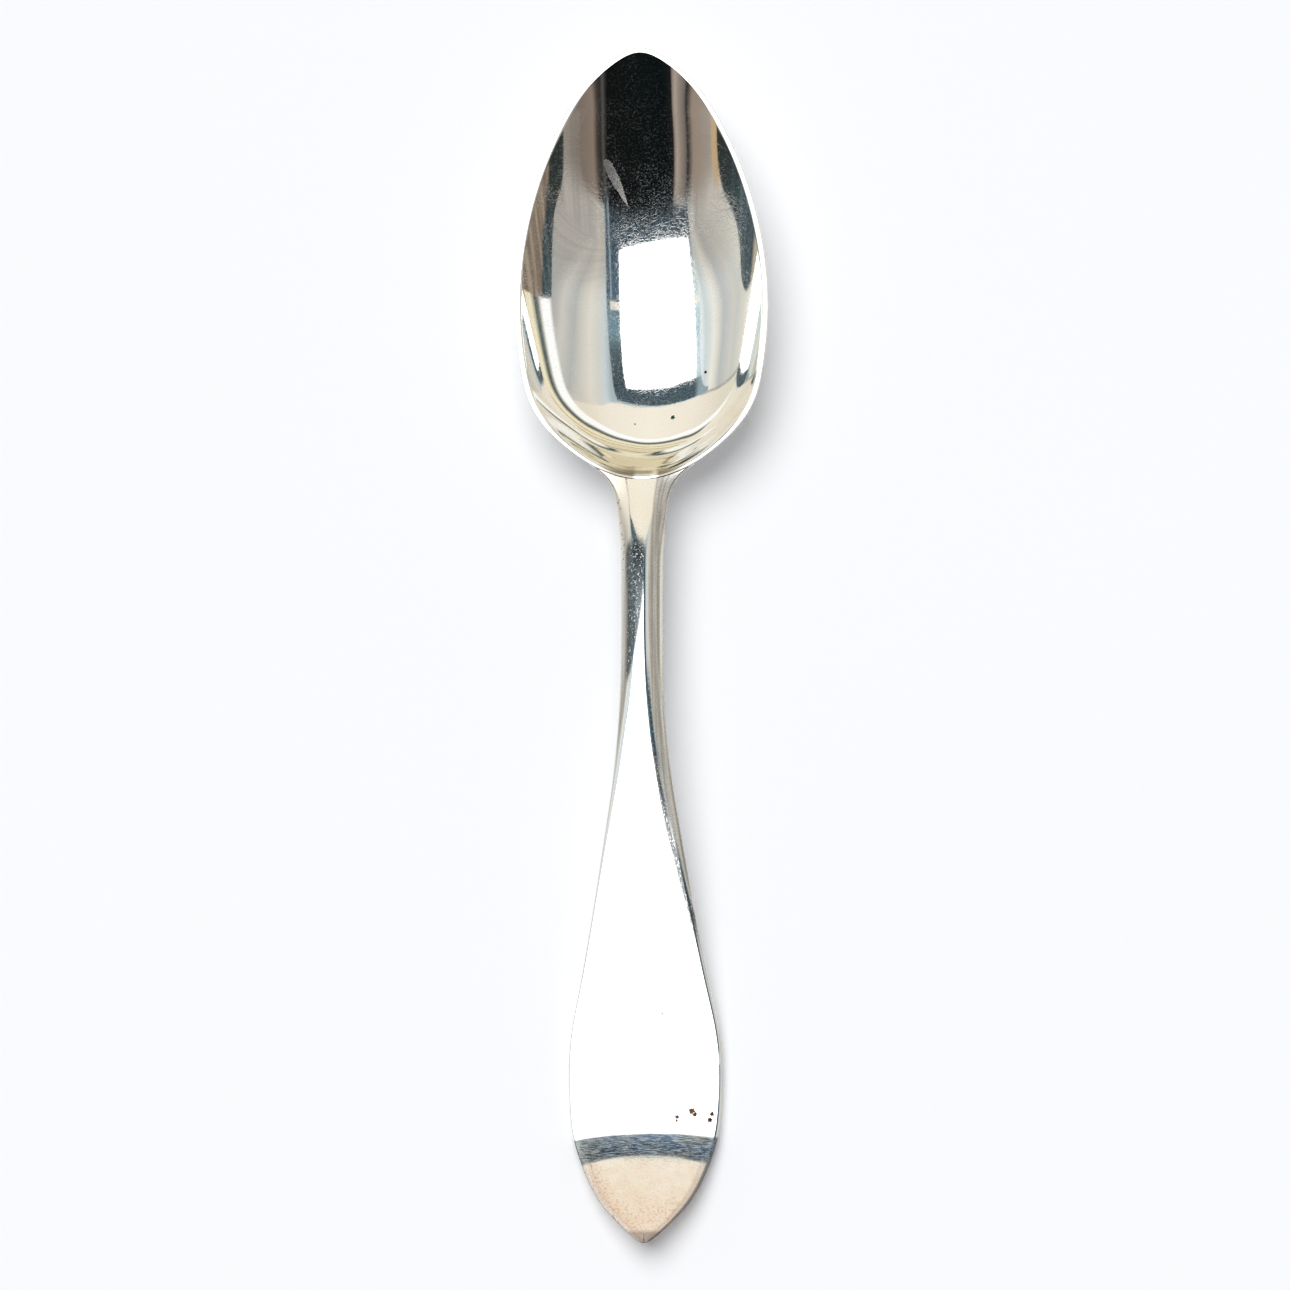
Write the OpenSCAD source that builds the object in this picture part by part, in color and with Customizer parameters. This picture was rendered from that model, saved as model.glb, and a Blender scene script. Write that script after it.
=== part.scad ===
// Serving spoon: a raised oval bowl, hard-soldered to a forged handle with a pointed, turned-up blade.
// Millimetres. The spoon lies on its back on the table, z = 0. Y runs along it, and the bowl is at +Y.
// The middle of the overall length is at y = 0, and the plane x = 0 halves the spoon.

/* [Whole spoon] */
// Length from the point of the bowl to the point of the handle
overall_l = 220; // [200:1:240]

/* [Bowl] */
// Length of the bowl over its rim
bowl_l = 80; // [72:1:88]
// Greatest width of the bowl over its rim
bowl_w = 47; // [42:0.5:52]
// Thickness of the bowl at its floor
bowl_t = 1.3; // [1:0.1:1.8]
// Width of the rim's top along the sides
rim_w = 1.0; // [0.7:0.05:1.4]
// Width of the rim's top at the point of the bowl
rim_tip_w = 0.7; // [0.5:0.05:1]
// Height of the rim above the table at the point of the bowl
rim_tip_h = 16; // [14:0.25:18]
// Height of the rim above the table at the root of the stem
rim_root_h = 10.4; // [9.5:0.1:12]
// How far the sides of the rim dip below a straight line from point to root
rim_sag = 0.8; // [0:0.1:1.5]
// Height of the rim's outer edge along the sides
rim_edge_h = 0.6; // [0.4:0.05:1]
// Height of the rim's outer edge at the point of the bowl
rim_tip_edge_h = 1.1; // [0.8:0.05:1.4]

/* [Handle] */
// Greatest width of the blade
blade_w = 28.3; // [24:0.1:32]
// Thickness of the blade
blade_t = 2.2; // [1.6:0.1:3]
// How far the handle's back bulges in its middle, against its sides
back_crown = 0.25; // [0.1:0.05:0.5]
// Length over which the blade's point is rounded
nose_l = 8; // [6:0.5:11]
// How far the point of the handle turns up
tip_lift = 4.2; // [2:0.1:6]
// Width of the rounded edge round the blade's face
blade_edge_w = 1.5; // [0.8:0.05:1.8]
// Depth of the rounded edge round the blade's face
blade_edge_h = 0.22; // [0.15:0.01:0.5]
// Width of the neck, where the stem is narrowest
neck_w = 7.7; // [6.5:0.1:9]
// Thickness of the neck
neck_t = 3.8; // [3:0.1:4.6]
// How far the middle of the neck's arched face stands over its sides
neck_crown = 1.9; // [1.4:0.1:2.2]
// Width of the rounding on each side of the neck's face
neck_edge_w = 1.2; // [0.8:0.1:2]
// Depth of that rounding
neck_edge_h = 0.45; // [0.3:0.05:0.7]
// Height of the stem's face above the table at its crest
crest_h = 12.4; // [12:0.1:15]
// Thickness of the stem at its root, under the edge of the bowl
root_t = 4.4; // [3.8:0.1:5]

/* [Joint] */
// How far the tongue runs under the bowl from its root
tongue_l = 8.6; // [7:0.1:9.5]
// Width of the tongue under the bowl
tongue_w = 10; // [8:0.2:12]
// Thickness of the tongue in its middle
tongue_t = 0.75; // [0.5:0.05:0.9]
// Thickness of the shoulders where they end against the rim
shoulder_t = 1.5; // [1:0.1:2]
// Gap between bowl and handle that the solder fills
joint_gap = 0.16; // [0.14:0.01:0.22]

/* [Hidden] */

// Fullness of the bowl's outline against a plain ellipse, at shares of its length from the point
outline_shares = [
    [0, 0.59], [0.03, 0.69], [0.07, 0.772], [0.15, 0.836], [0.3, 0.91], [0.45, 0.972],
    [0.6, 1.03], [0.75, 1.11], [0.87, 1.177], [0.93, 1.135], [1, 1.06]
];
// Height of the bowl's keel line as a share of the rim's height, at shares of its length from the point
keel_shares = [
    [0, 1], [0.144, 0.807], [0.298, 0.554], [0.446, 0.29], [0.527, 0.159], [0.617, 0.055],
    [0.693, 0.0105], [0.77, 0], [0.834, 0.016], [0.885, 0.072], [0.923, 0.19], [0.955, 0.395],
    [0.98, 0.664], [1, 1]
];
// How much of each cross-section is a plain parabola, at shares of the bowl's length from the point
round_shares = [[0, 1], [0.25, 0.96], [0.45, 0.88], [0.62, 0.79], [0.8, 0.7], [1, 0.62]];
// Power of the steeper part of each cross-section, which makes the wall stand up near the rim
wall_power = 6;
// How far up the bowl the shoulders reach, as a share of its length
shoulder_share = 0.037;
// Where the handle lies lowest and where its stem crests, as shares of its length from its point
low_share = 0.2;
crest_share = 0.72;
// Height of the face between lowest place and crest, and between crest and root
climb_shares = [[0.26, 0.055], [0.37, 0.317], [0.5, 0.642], [0.61, 0.887]];
root_shares = [[0.815, 0.88], [0.915, 0.6], [0.96, 0.33]];
curl_shares = [[0, 1], [0.07, 0.417], [0.143, 0.072]];
// Half width of the blade as a share of its greatest half width, at shares of the handle's length
blade_shares = [
    [0, 0.252], [0.035, 0.47], [0.07, 0.69], [0.1, 0.825], [0.135, 0.935], [0.175, 0.985],
    [0.22, 1], [0.27, 0.968], [0.33, 0.852], [0.393, 0.729], [0.465, 0.604], [0.54, 0.482]
];
// Half width of the stem as a share of the neck's, at shares of the handle's length
neck_shares = [[0.63, 1.28], [0.7, 1.06], [0.77, 1], [0.85, 1.005], [0.92, 1.05]];
// Half width of the root's flare between neck and shoulder, at shares of the handle's length
flare_shares = [[0.96, 0.12], [0.985, 0.24], [1.003, 0.48], [1.012, 0.7]];
// How much of the neck's arched section each place has, at shares of the handle's length
arch_shares = [
    [0, 0], [0.15, 0.01], [0.3, 0.04], [0.455, 0.14], [0.534, 0.26], [0.62, 0.36], [0.704, 0.55],
    [0.77, 0.85], [0.83, 1], [0.92, 0.8], [1, 0.25], [1.1, 0.05]
];
// How much of the neck's thickness each place has over the blade's, at shares of the handle's length
swell_shares = [[0, 0], [0.3, 0.02], [0.45, 0.15], [0.6, 0.5], [0.72, 0.9], [0.8, 1], [0.9, 1], [1, 1]];

// Where the flare of the root starts and how far it runs, as shares of the handle's length
flare_place_share = 0.93;
flare_span_share = 0.085;
// Where the neck starts to thicken into the root
root_place_share = 0.9;
// How far the face falls from the root to the ends of the shoulders
root_fall = 0.27;
// How far the middle of the blade's face stands over its sides
blade_crown = 0.15;
// Rounding of the shoulders' edges, and of the corner where the stem's back meets the bowl's
shoulder_edge = 0.35;
root_fillet = 2;
// How fast the shoulders narrow to the tongue, and how square the tongue's end is
tongue_fillet = 1;
tongue_power = 3;
// How much thinner the tongue is along its sides
tongue_fade_share = 0.35;
// Angle to each side of the axis, round the bowl, that the seat covers, and where it starts towards the rim
seat_angle = 58;
seat_start_share = 0.4;
// Clearance between the solder and the metal, and how far it stays back from the tongue's end
seam_clear = 0.03;
seam_inset = 0.9;
// Width of the solder and how far its end is rounded, as shares of the tongue's width and length
seam_share = 0.72;
seam_round_share = 0.3;
// Where the handle starts within its first row of facets
nose_start_share = 0.6;
// Most that the rounded edge takes of the half width, at the handle's point
nose_inset_share = 0.6;
// Where the bowl's deepest place lies between point and root, for laying out its rings
heart_share = 0.72;
// Share of the bowl's length over which the rim's edge loses its extra height
point_share = 0.33;
// How much the rings crowd towards the rim, on the bowl and on its seat
crowd_share = 0.45;

// Fineness of the facets
bowl_sides = 96;
bowl_rings = 14;
nose_rows = 8;
blade_rows = 44;
root_rows = 18;
tongue_rows = 9;
face_cols = 3;
edge_cols = 3;
seat_cols = 36;
seat_rows = 14;
seam_cols = 14;
seam_rows = 14;
peak_steps = 400;
slope_step_share = 0.0005;

// Places along the spoon
bowl_tip_y = overall_l / 2;
bowl_root_y = bowl_tip_y - bowl_l;
handle_tip_y = -overall_l / 2;
handle_l = bowl_root_y - handle_tip_y;
tongue_y = bowl_root_y + tongue_l;
nose_share = nose_l / handle_l;

// Smooth curves: a natural cubic spline through a table of [place, value] pairs
function sweep_down(tab, i, acc) =
    i >= len(tab) - 1 ? acc :
    let (
        h0 = tab[i][0] - tab[i - 1][0],
        h1 = tab[i + 1][0] - tab[i][0],
        turn = (tab[i + 1][1] - tab[i][1]) / h1 - (tab[i][1] - tab[i - 1][1]) / h0,
        pivot = 2 * (h0 + h1) - h0 * acc[i - 1][0]
    )
    sweep_down(tab, i + 1, concat(acc, [[h1 / pivot, (6 * turn - h0 * acc[i - 1][1]) / pivot]]));

function sweep_up(rows, i, acc) =
    i < 0 ? acc : sweep_up(rows, i - 1, concat([rows[i][1] - rows[i][0] * acc[0]], acc));

// A curve is the table with its bend at each knot
function curve(tab) = [tab, sweep_up(sweep_down(tab, 1, [[0, 0]]), len(tab) - 2, [0])];

function at(crv, p) =
    let (
        tab = crv[0],
        bend = crv[1],
        i = max([for (k = [0 : len(tab) - 2]) if (k == 0 || tab[k][0] <= p) k]),
        h = tab[i + 1][0] - tab[i][0],
        b = (p - tab[i][0]) / h,
        a = 1 - b
    )
    a * tab[i][1] + b * tab[i + 1][1]
        + ((a * a * a - a) * bend[i] + (b * b * b - b) * bend[i + 1]) * h * h / 6;

function mix(a, b, share) = a + (b - a) * share;

// Runs from 0 to 1 with a soft start and end
function ease(u) = let (v = min(max(u, 0), 1)) v * v * (3 - 2 * v);

outline_c = curve(outline_shares);
keel_c = curve(keel_shares);
round_c = curve(round_shares);

// Half width of the oval, before it is brought to size, at a share t of its length
function oval(t) = sqrt(max(t * (1 - t), 0)) * at(outline_c, t);
oval_peak = max([for (i = [0 : peak_steps]) oval(i / peak_steps)]);

// Height of the rim's top along the bowl
function rim_z(y) =
    let (t = (bowl_tip_y - y) / bowl_l)
    mix(rim_tip_h, rim_root_h, t) - rim_sag * 4 * t * (1 - t);

// A skin is [half width, tip y, root y, floor height, drop below the rim at the tip, drop elsewhere]
inner_skin = [bowl_w / 2 - rim_w, bowl_tip_y - rim_tip_w, bowl_root_y + rim_w, bowl_t, 0, 0];
function outer_skin(gap) = [
    bowl_w / 2 + gap, bowl_tip_y + gap, bowl_root_y - gap, -gap, rim_tip_edge_h, rim_edge_h
];

function skin_share(sk, y) = min(max((sk[1] - y) / (sk[1] - sk[2]), 0), 1);
function skin_half_w(sk, t) = sk[0] * oval(t) / oval_peak;
function skin_rim_z(sk, y) =
    rim_z(y) - mix(sk[4], sk[5], ease(skin_share(sk, y) / point_share));

function skin_z(sk, x, y) =
    let (
        t = skin_share(sk, y),
        top = skin_rim_z(sk, y),
        keel = mix(sk[3], top, at(keel_c, t)),
        w = skin_half_w(sk, t),
        s = abs(x) < w ? abs(x) / w : 1,
        a = at(round_c, t)
    )
    keel + (top - keel) * (a * s * s + (1 - a) * pow(s, wall_power));

// Point of a skin's edge at an angle round the oval, from the tip
function edge_pt(sk, ang) =
    let (t = (1 - cos(ang)) / 2)
    [sk[0] * (ang > 180 ? -1 : 1) * oval(t) / oval_peak, mix(sk[1], sk[2], t)];

// Centre of a skin's rings
function heart(sk) = [0, mix(sk[1], sk[2], heart_share)];

// One ring of a skin: share r of the way from its heart to its edge
function skin_ring(sk, r) = [
    for (j = [0 : bowl_sides - 1])
        let (
            e = edge_pt(sk, 360 * j / bowl_sides),
            c = heart(sk),
            p = c + (e - c) * r
        )
        [p[0], p[1], r == 1 ? skin_rim_z(sk, e[1]) : skin_z(sk, p[0], p[1])]
];

// Rings crowd towards the rim, where the wall stands up
function crowd(u) = u * (1 + crowd_share * (1 - u));

// Facets between rings, and fans at their ends
function ring_faces(rings, n) = [
    for (i = [0 : rings - 2], j = [0 : n - 1])
        let (a = i * n + j, b = i * n + (j + 1) % n)
        each [[a, b, b + n], [a, b + n, a + n]]
];
function fan_faces(first, n, hub, flip) = [
    for (j = [0 : n - 1])
        flip ? [first + (j + 1) % n, first + j, hub] : [first + j, first + (j + 1) % n, hub]
];

module bowl() {
    outer = outer_skin(0);
    c_in = heart(inner_skin);
    c_out = heart(outer);
    lip = [
        for (j = [0 : bowl_sides - 1])
            let (e = edge_pt(outer, 360 * j / bowl_sides))
            [e[0], e[1], rim_z(e[1])]
    ];
    rings = concat(
        [for (i = [1 : bowl_rings]) skin_ring(inner_skin, crowd(i / bowl_rings))],
        [lip],
        [for (i = [bowl_rings : -1 : 1]) skin_ring(outer, crowd(i / bowl_rings))]
    );
    pts = concat(
        [for (ring = rings) each ring],
        [
            [c_in[0], c_in[1], skin_z(inner_skin, c_in[0], c_in[1])],
            [c_out[0], c_out[1], skin_z(outer, c_out[0], c_out[1])]
        ]
    );
    n = bowl_sides;
    count = len(rings);
    color("silver")
        polyhedron(
            points = pts,
            faces = concat(
                ring_faces(count, n),
                fan_faces(0, n, count * n, true),
                fan_faces((count - 1) * n, n, count * n + 1, false)
            ),
            convexity = 6
        );
}

// The handle's outline and heights, by its share p of length from the point
function place_y(p) = handle_tip_y + handle_l * p;
function y_place(y) = (y - handle_tip_y) / handle_l;

shoulder_y = bowl_root_y + shoulder_share * bowl_l;
function fall_share(y) = (y - bowl_root_y) / (shoulder_y - bowl_root_y);
shoulder_half_w = skin_half_w(outer_skin(0), 1 - shoulder_share);

width_c = curve(concat(
    [for (s = blade_shares) [s[0], s[1] * blade_w / 2]],
    [for (s = neck_shares) [s[0], s[1] * neck_w / 2]],
    [for (s = flare_shares) [s[0], mix(neck_w / 2, shoulder_half_w, s[1])]],
    [[y_place(shoulder_y), shoulder_half_w]]
));
face_c = curve(concat(
    [for (s = curl_shares) [s[0], blade_t + tip_lift * s[1]]],
    [[low_share, blade_t]],
    [for (s = climb_shares) [s[0], mix(blade_t, crest_h, s[1])]],
    [[crest_share, crest_h]],
    [for (s = root_shares) [s[0], mix(rim_root_h, crest_h, s[1])]],
    [for (y = [bowl_root_y, shoulder_y, tongue_y]) [y_place(y), rim_root_h - root_fall * fall_share(y)]]
));
arch_c = curve(arch_shares);
swell_c = curve(swell_shares);

function nose(p) = let (u = 1 - min(p / nose_share, 1)) sqrt(max(1 - u * u, 0));
function half_w(p) = nose(p) * at(width_c, p);
function arch(p) = min(max(at(arch_c, p), 0), 1);
function face_z(p) = at(face_c, p);
function thick(p) =
    let (u = (p - root_place_share) / (1 - root_place_share))
    mix(mix(blade_t, neck_t, at(swell_c, p)), root_t, ease(u));

// 0 on the stem and 1 at the shoulders
function flared(p) = ease((p - flare_place_share) / flare_span_share);

function edge_w(p) = mix(mix(blade_edge_w, neck_edge_w, arch(p)), shoulder_edge, flared(p));
function edge_h(p) = mix(mix(blade_edge_h, neck_edge_h, arch(p)), shoulder_edge, flared(p));

// Lower of two heights, joined by a fillet
function soft_min(a, b, r) =
    let (h = min(max((1 + (b - a) / r) / 2, 0), 1))
    mix(b, a, h) - r * h * (1 - h);

// Underside of the handle: the stem's back, run into the back of the bowl, which the tongue follows
function under_z(x, y, w) =
    let (
        p = y_place(y),
        q = min(abs(x) / w, 1),
        stem = face_z(p) - thick(p) + mix(back_crown, thick(p) - shoulder_t, flared(p)) * q * q,
        lap = skin_z(outer_skin(joint_gap), x, y) - tongue_t * (1 - tongue_fade_share * q * q)
    )
    y < bowl_root_y - root_fillet ? stem : soft_min(stem, lap, root_fillet);

// A row is [y, half width, inward normal x, inward normal y, edge width, edge depth]
function handle_row(p) =
    let (
        before = max(p - slope_step_share, 0),
        after = p + slope_step_share,
        m = (half_w(after) - half_w(before)) / (handle_l * (after - before)),
        len_n = sqrt(1 + m * m)
    )
    [
        place_y(p), half_w(p), min(1 / len_n, nose_inset_share * half_w(p) / edge_w(p)), m / len_n,
        edge_w(p), edge_h(p)
    ];

function tongue_half_w(y) =
    let (v = max((y - shoulder_y) / (tongue_y - shoulder_y), 0))
    tongue_w / 2 * sqrt(max(1 - pow(v, tongue_power), 0))
        + (shoulder_half_w - tongue_w / 2) * exp((shoulder_y - y) / tongue_fillet);
function tongue_row(u) =
    let (y = mix(shoulder_y, tongue_y, u))
    [y, tongue_half_w(y), 1, 0, shoulder_edge, shoulder_edge];

// Half section from the middle of the face, round the edge, to the middle of the back
function half_section(row) =
    let (
        face_w = row[1] - row[4] * row[2],
        face_y = row[0] + row[4] * row[3],
        crown = mix(blade_crown, neck_crown, arch(y_place(row[0]))) / (row[1] * row[1])
    )
    concat(
        [
            for (k = [0 : face_cols])
                let (x = face_w * k / face_cols)
                [x, face_y, face_z(y_place(face_y)) - crown * x * x]
        ],
        [
            for (k = [1 : edge_cols])
                let (
                    a = 90 * k / edge_cols,
                    inset = row[4] * (1 - sin(a)),
                    x = row[1] - inset * row[2],
                    y = row[0] + inset * row[3]
                )
                [x, y, face_z(y_place(y)) - crown * x * x - row[5] * (1 - cos(a))]
        ],
        [
            for (k = [edge_cols : -1 : 1])
                let (
                    a = 90 * k / edge_cols,
                    inset = row[4] * (1 - sin(a)),
                    x = row[1] - inset * row[2],
                    y = row[0] + inset * row[3]
                )
                [x, y, under_z(x, y, row[1]) + row[5] * (1 - cos(a))]
        ],
        [
            for (k = [face_cols : -1 : 0])
                let (x = face_w * k / face_cols)
                [x, face_y, under_z(x, face_y, row[1])]
        ]
    );

function section(row) =
    let (half = half_section(row), n = len(half))
    concat(half, [for (k = [n - 2 : -1 : 1]) [-half[k][0], half[k][1], half[k][2]]]);

handle_rows = concat(
    [
        for (i = [0 : nose_rows - 1])
            handle_row(nose_share * (1 - cos(90 * (i + nose_start_share) / nose_rows)))
    ],
    [for (i = [0 : blade_rows - 1]) handle_row(mix(nose_share, flare_place_share, i / blade_rows))],
    [
        for (i = [0 : root_rows - 1])
            handle_row(mix(flare_place_share, y_place(shoulder_y), i / root_rows))
    ],
    [for (i = [0 : tongue_rows - 1]) tongue_row(i / (tongue_rows - nose_start_share))]
);

module handle_blank() {
    sections = [for (row = handle_rows) section(row)];
    n = len(sections[0]);
    count = len(sections);
    first = sections[0];
    last = sections[count - 1];
    polyhedron(
        points = concat(
            [for (s = sections) each s],
            [[0, handle_tip_y, (first[0][2] + first[n / 2][2]) / 2]],
            [[0, tongue_y, (last[0][2] + last[n / 2][2]) / 2]]
        ),
        faces = concat(
            ring_faces(count, n),
            fan_faces(0, n, count * n, true),
            fan_faces((count - 1) * n, n, count * n + 1, false)
        ),
        convexity = 8
    );
}

// What the bowl takes out of the handle: its back, grown by the solder's gap, and all above it
module bowl_seat() {
    sk = outer_skin(joint_gap);
    c = heart(sk);
    lid = rim_tip_h + rim_tip_edge_h;
    cols = seat_cols + 1;
    low = [
        for (i = [0 : seat_rows], j = [0 : seat_cols])
            let (
                e = edge_pt(sk, 180 + seat_angle * (2 * j / seat_cols - 1)),
                p = c + (e - c) * mix(seat_start_share, 1, crowd(i / seat_rows))
            )
            [p[0], p[1], i == seat_rows ? skin_rim_z(sk, e[1]) : skin_z(sk, p[0], p[1])]
    ];
    sheet_solid(low, [for (p = low) [p[0], p[1], lid]], seat_rows + 1, cols);
}

// Closed solid between two sheets of points with the same rows and columns
module sheet_solid(low, high, rows, cols) {
    n = rows * cols;
    rim = concat(
        [for (j = [0 : cols - 2]) j],
        [for (i = [0 : rows - 2]) i * cols + cols - 1],
        [for (j = [cols - 1 : -1 : 1]) (rows - 1) * cols + j],
        [for (i = [rows - 1 : -1 : 1]) i * cols]
    );
    polyhedron(
        points = concat(low, high),
        faces = concat(
            [
                for (i = [0 : rows - 2], j = [0 : cols - 2])
                    let (a = i * cols + j)
                    each [[a, a + 1, a + cols + 1], [a, a + cols + 1, a + cols]]
            ],
            [
                for (i = [0 : rows - 2], j = [0 : cols - 2])
                    let (a = n + i * cols + j)
                    each [[a, a + cols + 1, a + 1], [a, a + cols, a + cols + 1]]
            ],
            [
                for (k = [0 : len(rim) - 1])
                    let (a = rim[k], b = rim[(k + 1) % len(rim)])
                    each [[a, n + a, n + b], [a, n + b, b]]
            ]
        ),
        convexity = 6
    );
}

module handle() {
    color("gainsboro")
        difference() {
            handle_blank();
            bowl_seat();
        }
}

module solder_seam() {
    inner = outer_skin(seam_clear);
    outer = outer_skin(joint_gap - seam_clear);
    half_angle = asin(seam_share * tongue_w / bowl_w);
    plan = [
        for (i = [0 : seam_rows], j = [0 : seam_cols])
            let (
                e = edge_pt(inner, 180 + half_angle * (2 * j / seam_cols - 1)),
                q = e[0] / (tongue_w / 2),
                reach = tongue_y - seam_inset - seam_round_share * tongue_l * q * q
            )
            [e[0], mix(e[1] + seam_clear, reach, i / seam_rows)]
    ];
    color("dimgray")
        sheet_solid(
            [for (p = plan) [p[0], p[1], skin_z(outer, p[0], p[1])]],
            [for (p = plan) [p[0], p[1], skin_z(inner, p[0], p[1])]],
            seam_rows + 1,
            seam_cols + 1
        );
}

bowl();
handle();
solder_seam();
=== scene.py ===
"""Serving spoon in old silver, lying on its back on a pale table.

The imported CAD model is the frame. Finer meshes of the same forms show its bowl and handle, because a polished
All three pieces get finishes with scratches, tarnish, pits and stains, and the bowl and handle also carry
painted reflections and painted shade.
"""

import logging
import math
from dataclasses import dataclass
from enum import Enum

import bpy
import numpy as np
from mathutils import Matrix, Vector


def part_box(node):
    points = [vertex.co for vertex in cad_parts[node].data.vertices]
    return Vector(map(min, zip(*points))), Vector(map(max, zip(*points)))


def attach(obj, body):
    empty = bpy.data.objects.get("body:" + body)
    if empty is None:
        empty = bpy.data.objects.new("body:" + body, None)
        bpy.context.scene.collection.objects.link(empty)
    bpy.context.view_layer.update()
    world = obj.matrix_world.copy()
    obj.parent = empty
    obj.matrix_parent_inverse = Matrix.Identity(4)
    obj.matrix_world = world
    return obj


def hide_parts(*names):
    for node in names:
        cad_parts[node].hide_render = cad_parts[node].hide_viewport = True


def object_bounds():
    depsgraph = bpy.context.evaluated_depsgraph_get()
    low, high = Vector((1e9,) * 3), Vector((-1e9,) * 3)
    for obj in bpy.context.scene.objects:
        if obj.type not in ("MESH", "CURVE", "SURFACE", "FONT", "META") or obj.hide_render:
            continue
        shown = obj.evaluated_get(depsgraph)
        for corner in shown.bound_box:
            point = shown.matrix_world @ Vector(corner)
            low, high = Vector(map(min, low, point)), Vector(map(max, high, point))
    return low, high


MM = 0.001
BODY = "root"

Knots = tuple[tuple[float, float], ...]
Triple = tuple[float, float, float]
Colour = Triple
Stops = tuple[tuple[float, int, int, int], ...]
Numbers = float | np.ndarray
Socket = bpy.types.NodeSocket
Mark = tuple["Signal", Colour, float, float]
Face = tuple[int, ...]
Row = tuple[float, float, float, float, float, float]

# Where along the handle its half width is read for its finish
EDGE_PLACES = (-109.5, -108, -105.1, -100.2, -96, -91.1, -79, -60, -45, -34.4, -21.8, -12, -2.2,
               18.8, 24.4, 28, 31.5)
SILVER: Colour = (0.94, 0.93, 0.905)
ROOM_STRENGTH = 1.1
SOFTBOX = 2.3
# Share of a row that stays free at the handle's very ends, which the closing points take up
END_GAP = 0.3
# Steps round each edge of the bowl's rim
RIM_STEPS = 5
# Width of the camera's sensor
SENSOR = 36

logging.basicConfig(level=logging.INFO, format="%(name)s: %(message)s")
LOG = logging.getLogger("spoon")

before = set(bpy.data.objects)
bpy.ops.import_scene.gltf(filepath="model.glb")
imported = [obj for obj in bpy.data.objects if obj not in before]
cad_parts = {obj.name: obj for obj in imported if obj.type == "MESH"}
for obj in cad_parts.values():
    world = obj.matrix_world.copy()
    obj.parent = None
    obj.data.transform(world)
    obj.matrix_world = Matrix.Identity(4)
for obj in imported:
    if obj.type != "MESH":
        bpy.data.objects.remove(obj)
CAD_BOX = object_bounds()
TABLE_Z = CAD_BOX[0][2] / MM


class Slot(Enum):
    """The record's material slots of the two pieces that stand for a CAD node."""

    BOWL = "bowl_silver"
    HANDLE = "handle_silver"


# Numbers and curves that both forms share


def seen(*screen: float) -> Colour:
    """Room colour that the silver shows as a screen colour of 0 to 255.

    Args:
        screen: Red, green and blue on the screen.

    Returns:
        The linear colour, with the silver's own warmth taken out.
    """
    linear = []
    for share in (value / 255 for value in screen):
        linear.append(share / 12.92 if share <= 0.04045 else ((share + 0.055) / 1.055) ** 2.4)
    return tuple(value / tint / ROOM_STRENGTH for value, tint in zip(linear, SILVER))


def mix(a: Numbers, b: Numbers, share: Numbers) -> Numbers:
    """Value between a and b at a share from 0 to 1."""
    return a + (b - a) * share


def ease(u: Numbers) -> Numbers:
    """0 to 1 with a soft start and end, held at both ends."""
    v = np.clip(u, 0, 1)
    return v * v * (3 - 2 * v)


class Curve:
    """A natural cubic spline through a few knots of (place, value)."""

    def __init__(self, knots: Knots) -> None:
        """Solves for the bend at each knot.

        Args:
            knots: The knots, in any order.
        """
        table = np.array(sorted(knots), dtype=float)
        self.place, self.value = table[:, 0], table[:, 1]
        count = len(table)
        step = np.diff(self.place)
        rise = np.diff(self.value) / step
        system = np.eye(count)
        turn = np.zeros(count)
        for i in range(1, count - 1):
            system[i, i - 1 : i + 2] = step[i - 1], 2 * (step[i - 1] + step[i]), step[i]
            turn[i] = 6 * (rise[i] - rise[i - 1])
        self.bend = np.linalg.solve(system, turn)

    def __call__(self, place: Numbers) -> Numbers:
        """The curve's value at one place or many.

        Args:
            place: Where to read the curve.

        Returns:
            The value there.
        """
        place = np.asarray(place, dtype=float)
        i = np.clip(np.searchsorted(self.place, place, side="right") - 1, 0, len(self.place) - 2)
        step = self.place[i + 1] - self.place[i]
        b = (place - self.place[i]) / step
        a = 1 - b
        bent = ((a**3 - a) * self.bend[i] + (b**3 - b) * self.bend[i + 1]) * step * step / 6
        return a * self.value[i] + b * self.value[i + 1] + bent


def mesh_object(name: str, points: np.ndarray, faces: list[Face]) -> bpy.types.Object:
    """A smooth-shaded mesh object from points in millimetres.

    Args:
        name: The object's name.
        points: An array of points, three numbers each.
        faces: Tuples of point numbers.

    Returns:
        The object, linked to the scene.
    """
    mesh = bpy.data.meshes.new(name)
    mesh.from_pydata((np.asarray(points) * MM).tolist(), [], faces)
    mesh.validate()
    mesh.shade_smooth()
    obj = bpy.data.objects.new(name, mesh)
    bpy.context.scene.collection.objects.link(obj)
    return obj


def closed_mesh(name: str, rings: list[np.ndarray], ends: np.ndarray) -> bpy.types.Object:
    """A closed mesh over rings of points in millimetres, kept above the table.

    Args:
        name: The object's name.
        rings: Closed rings, each of the same number of points.
        ends: The two points that close the first and the last ring.

    Returns:
        The object, linked to the scene.
    """
    n = len(rings[0])
    last = (len(rings) - 1) * n
    pairs = [(j, (j + 1) % n) for j in range(n)]
    faces = [(i + a, i + b, i + b + n, i + a + n) for i in range(0, last, n) for a, b in pairs]
    faces += [(b, a, last + n) for a, b in pairs]
    faces += [(last + a, last + b, last + n + 1) for a, b in pairs]
    points = np.vstack([*rings, ends])
    points[:, 2] = np.maximum(points[:, 2], TABLE_Z)
    return mesh_object(name, points, faces)


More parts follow.
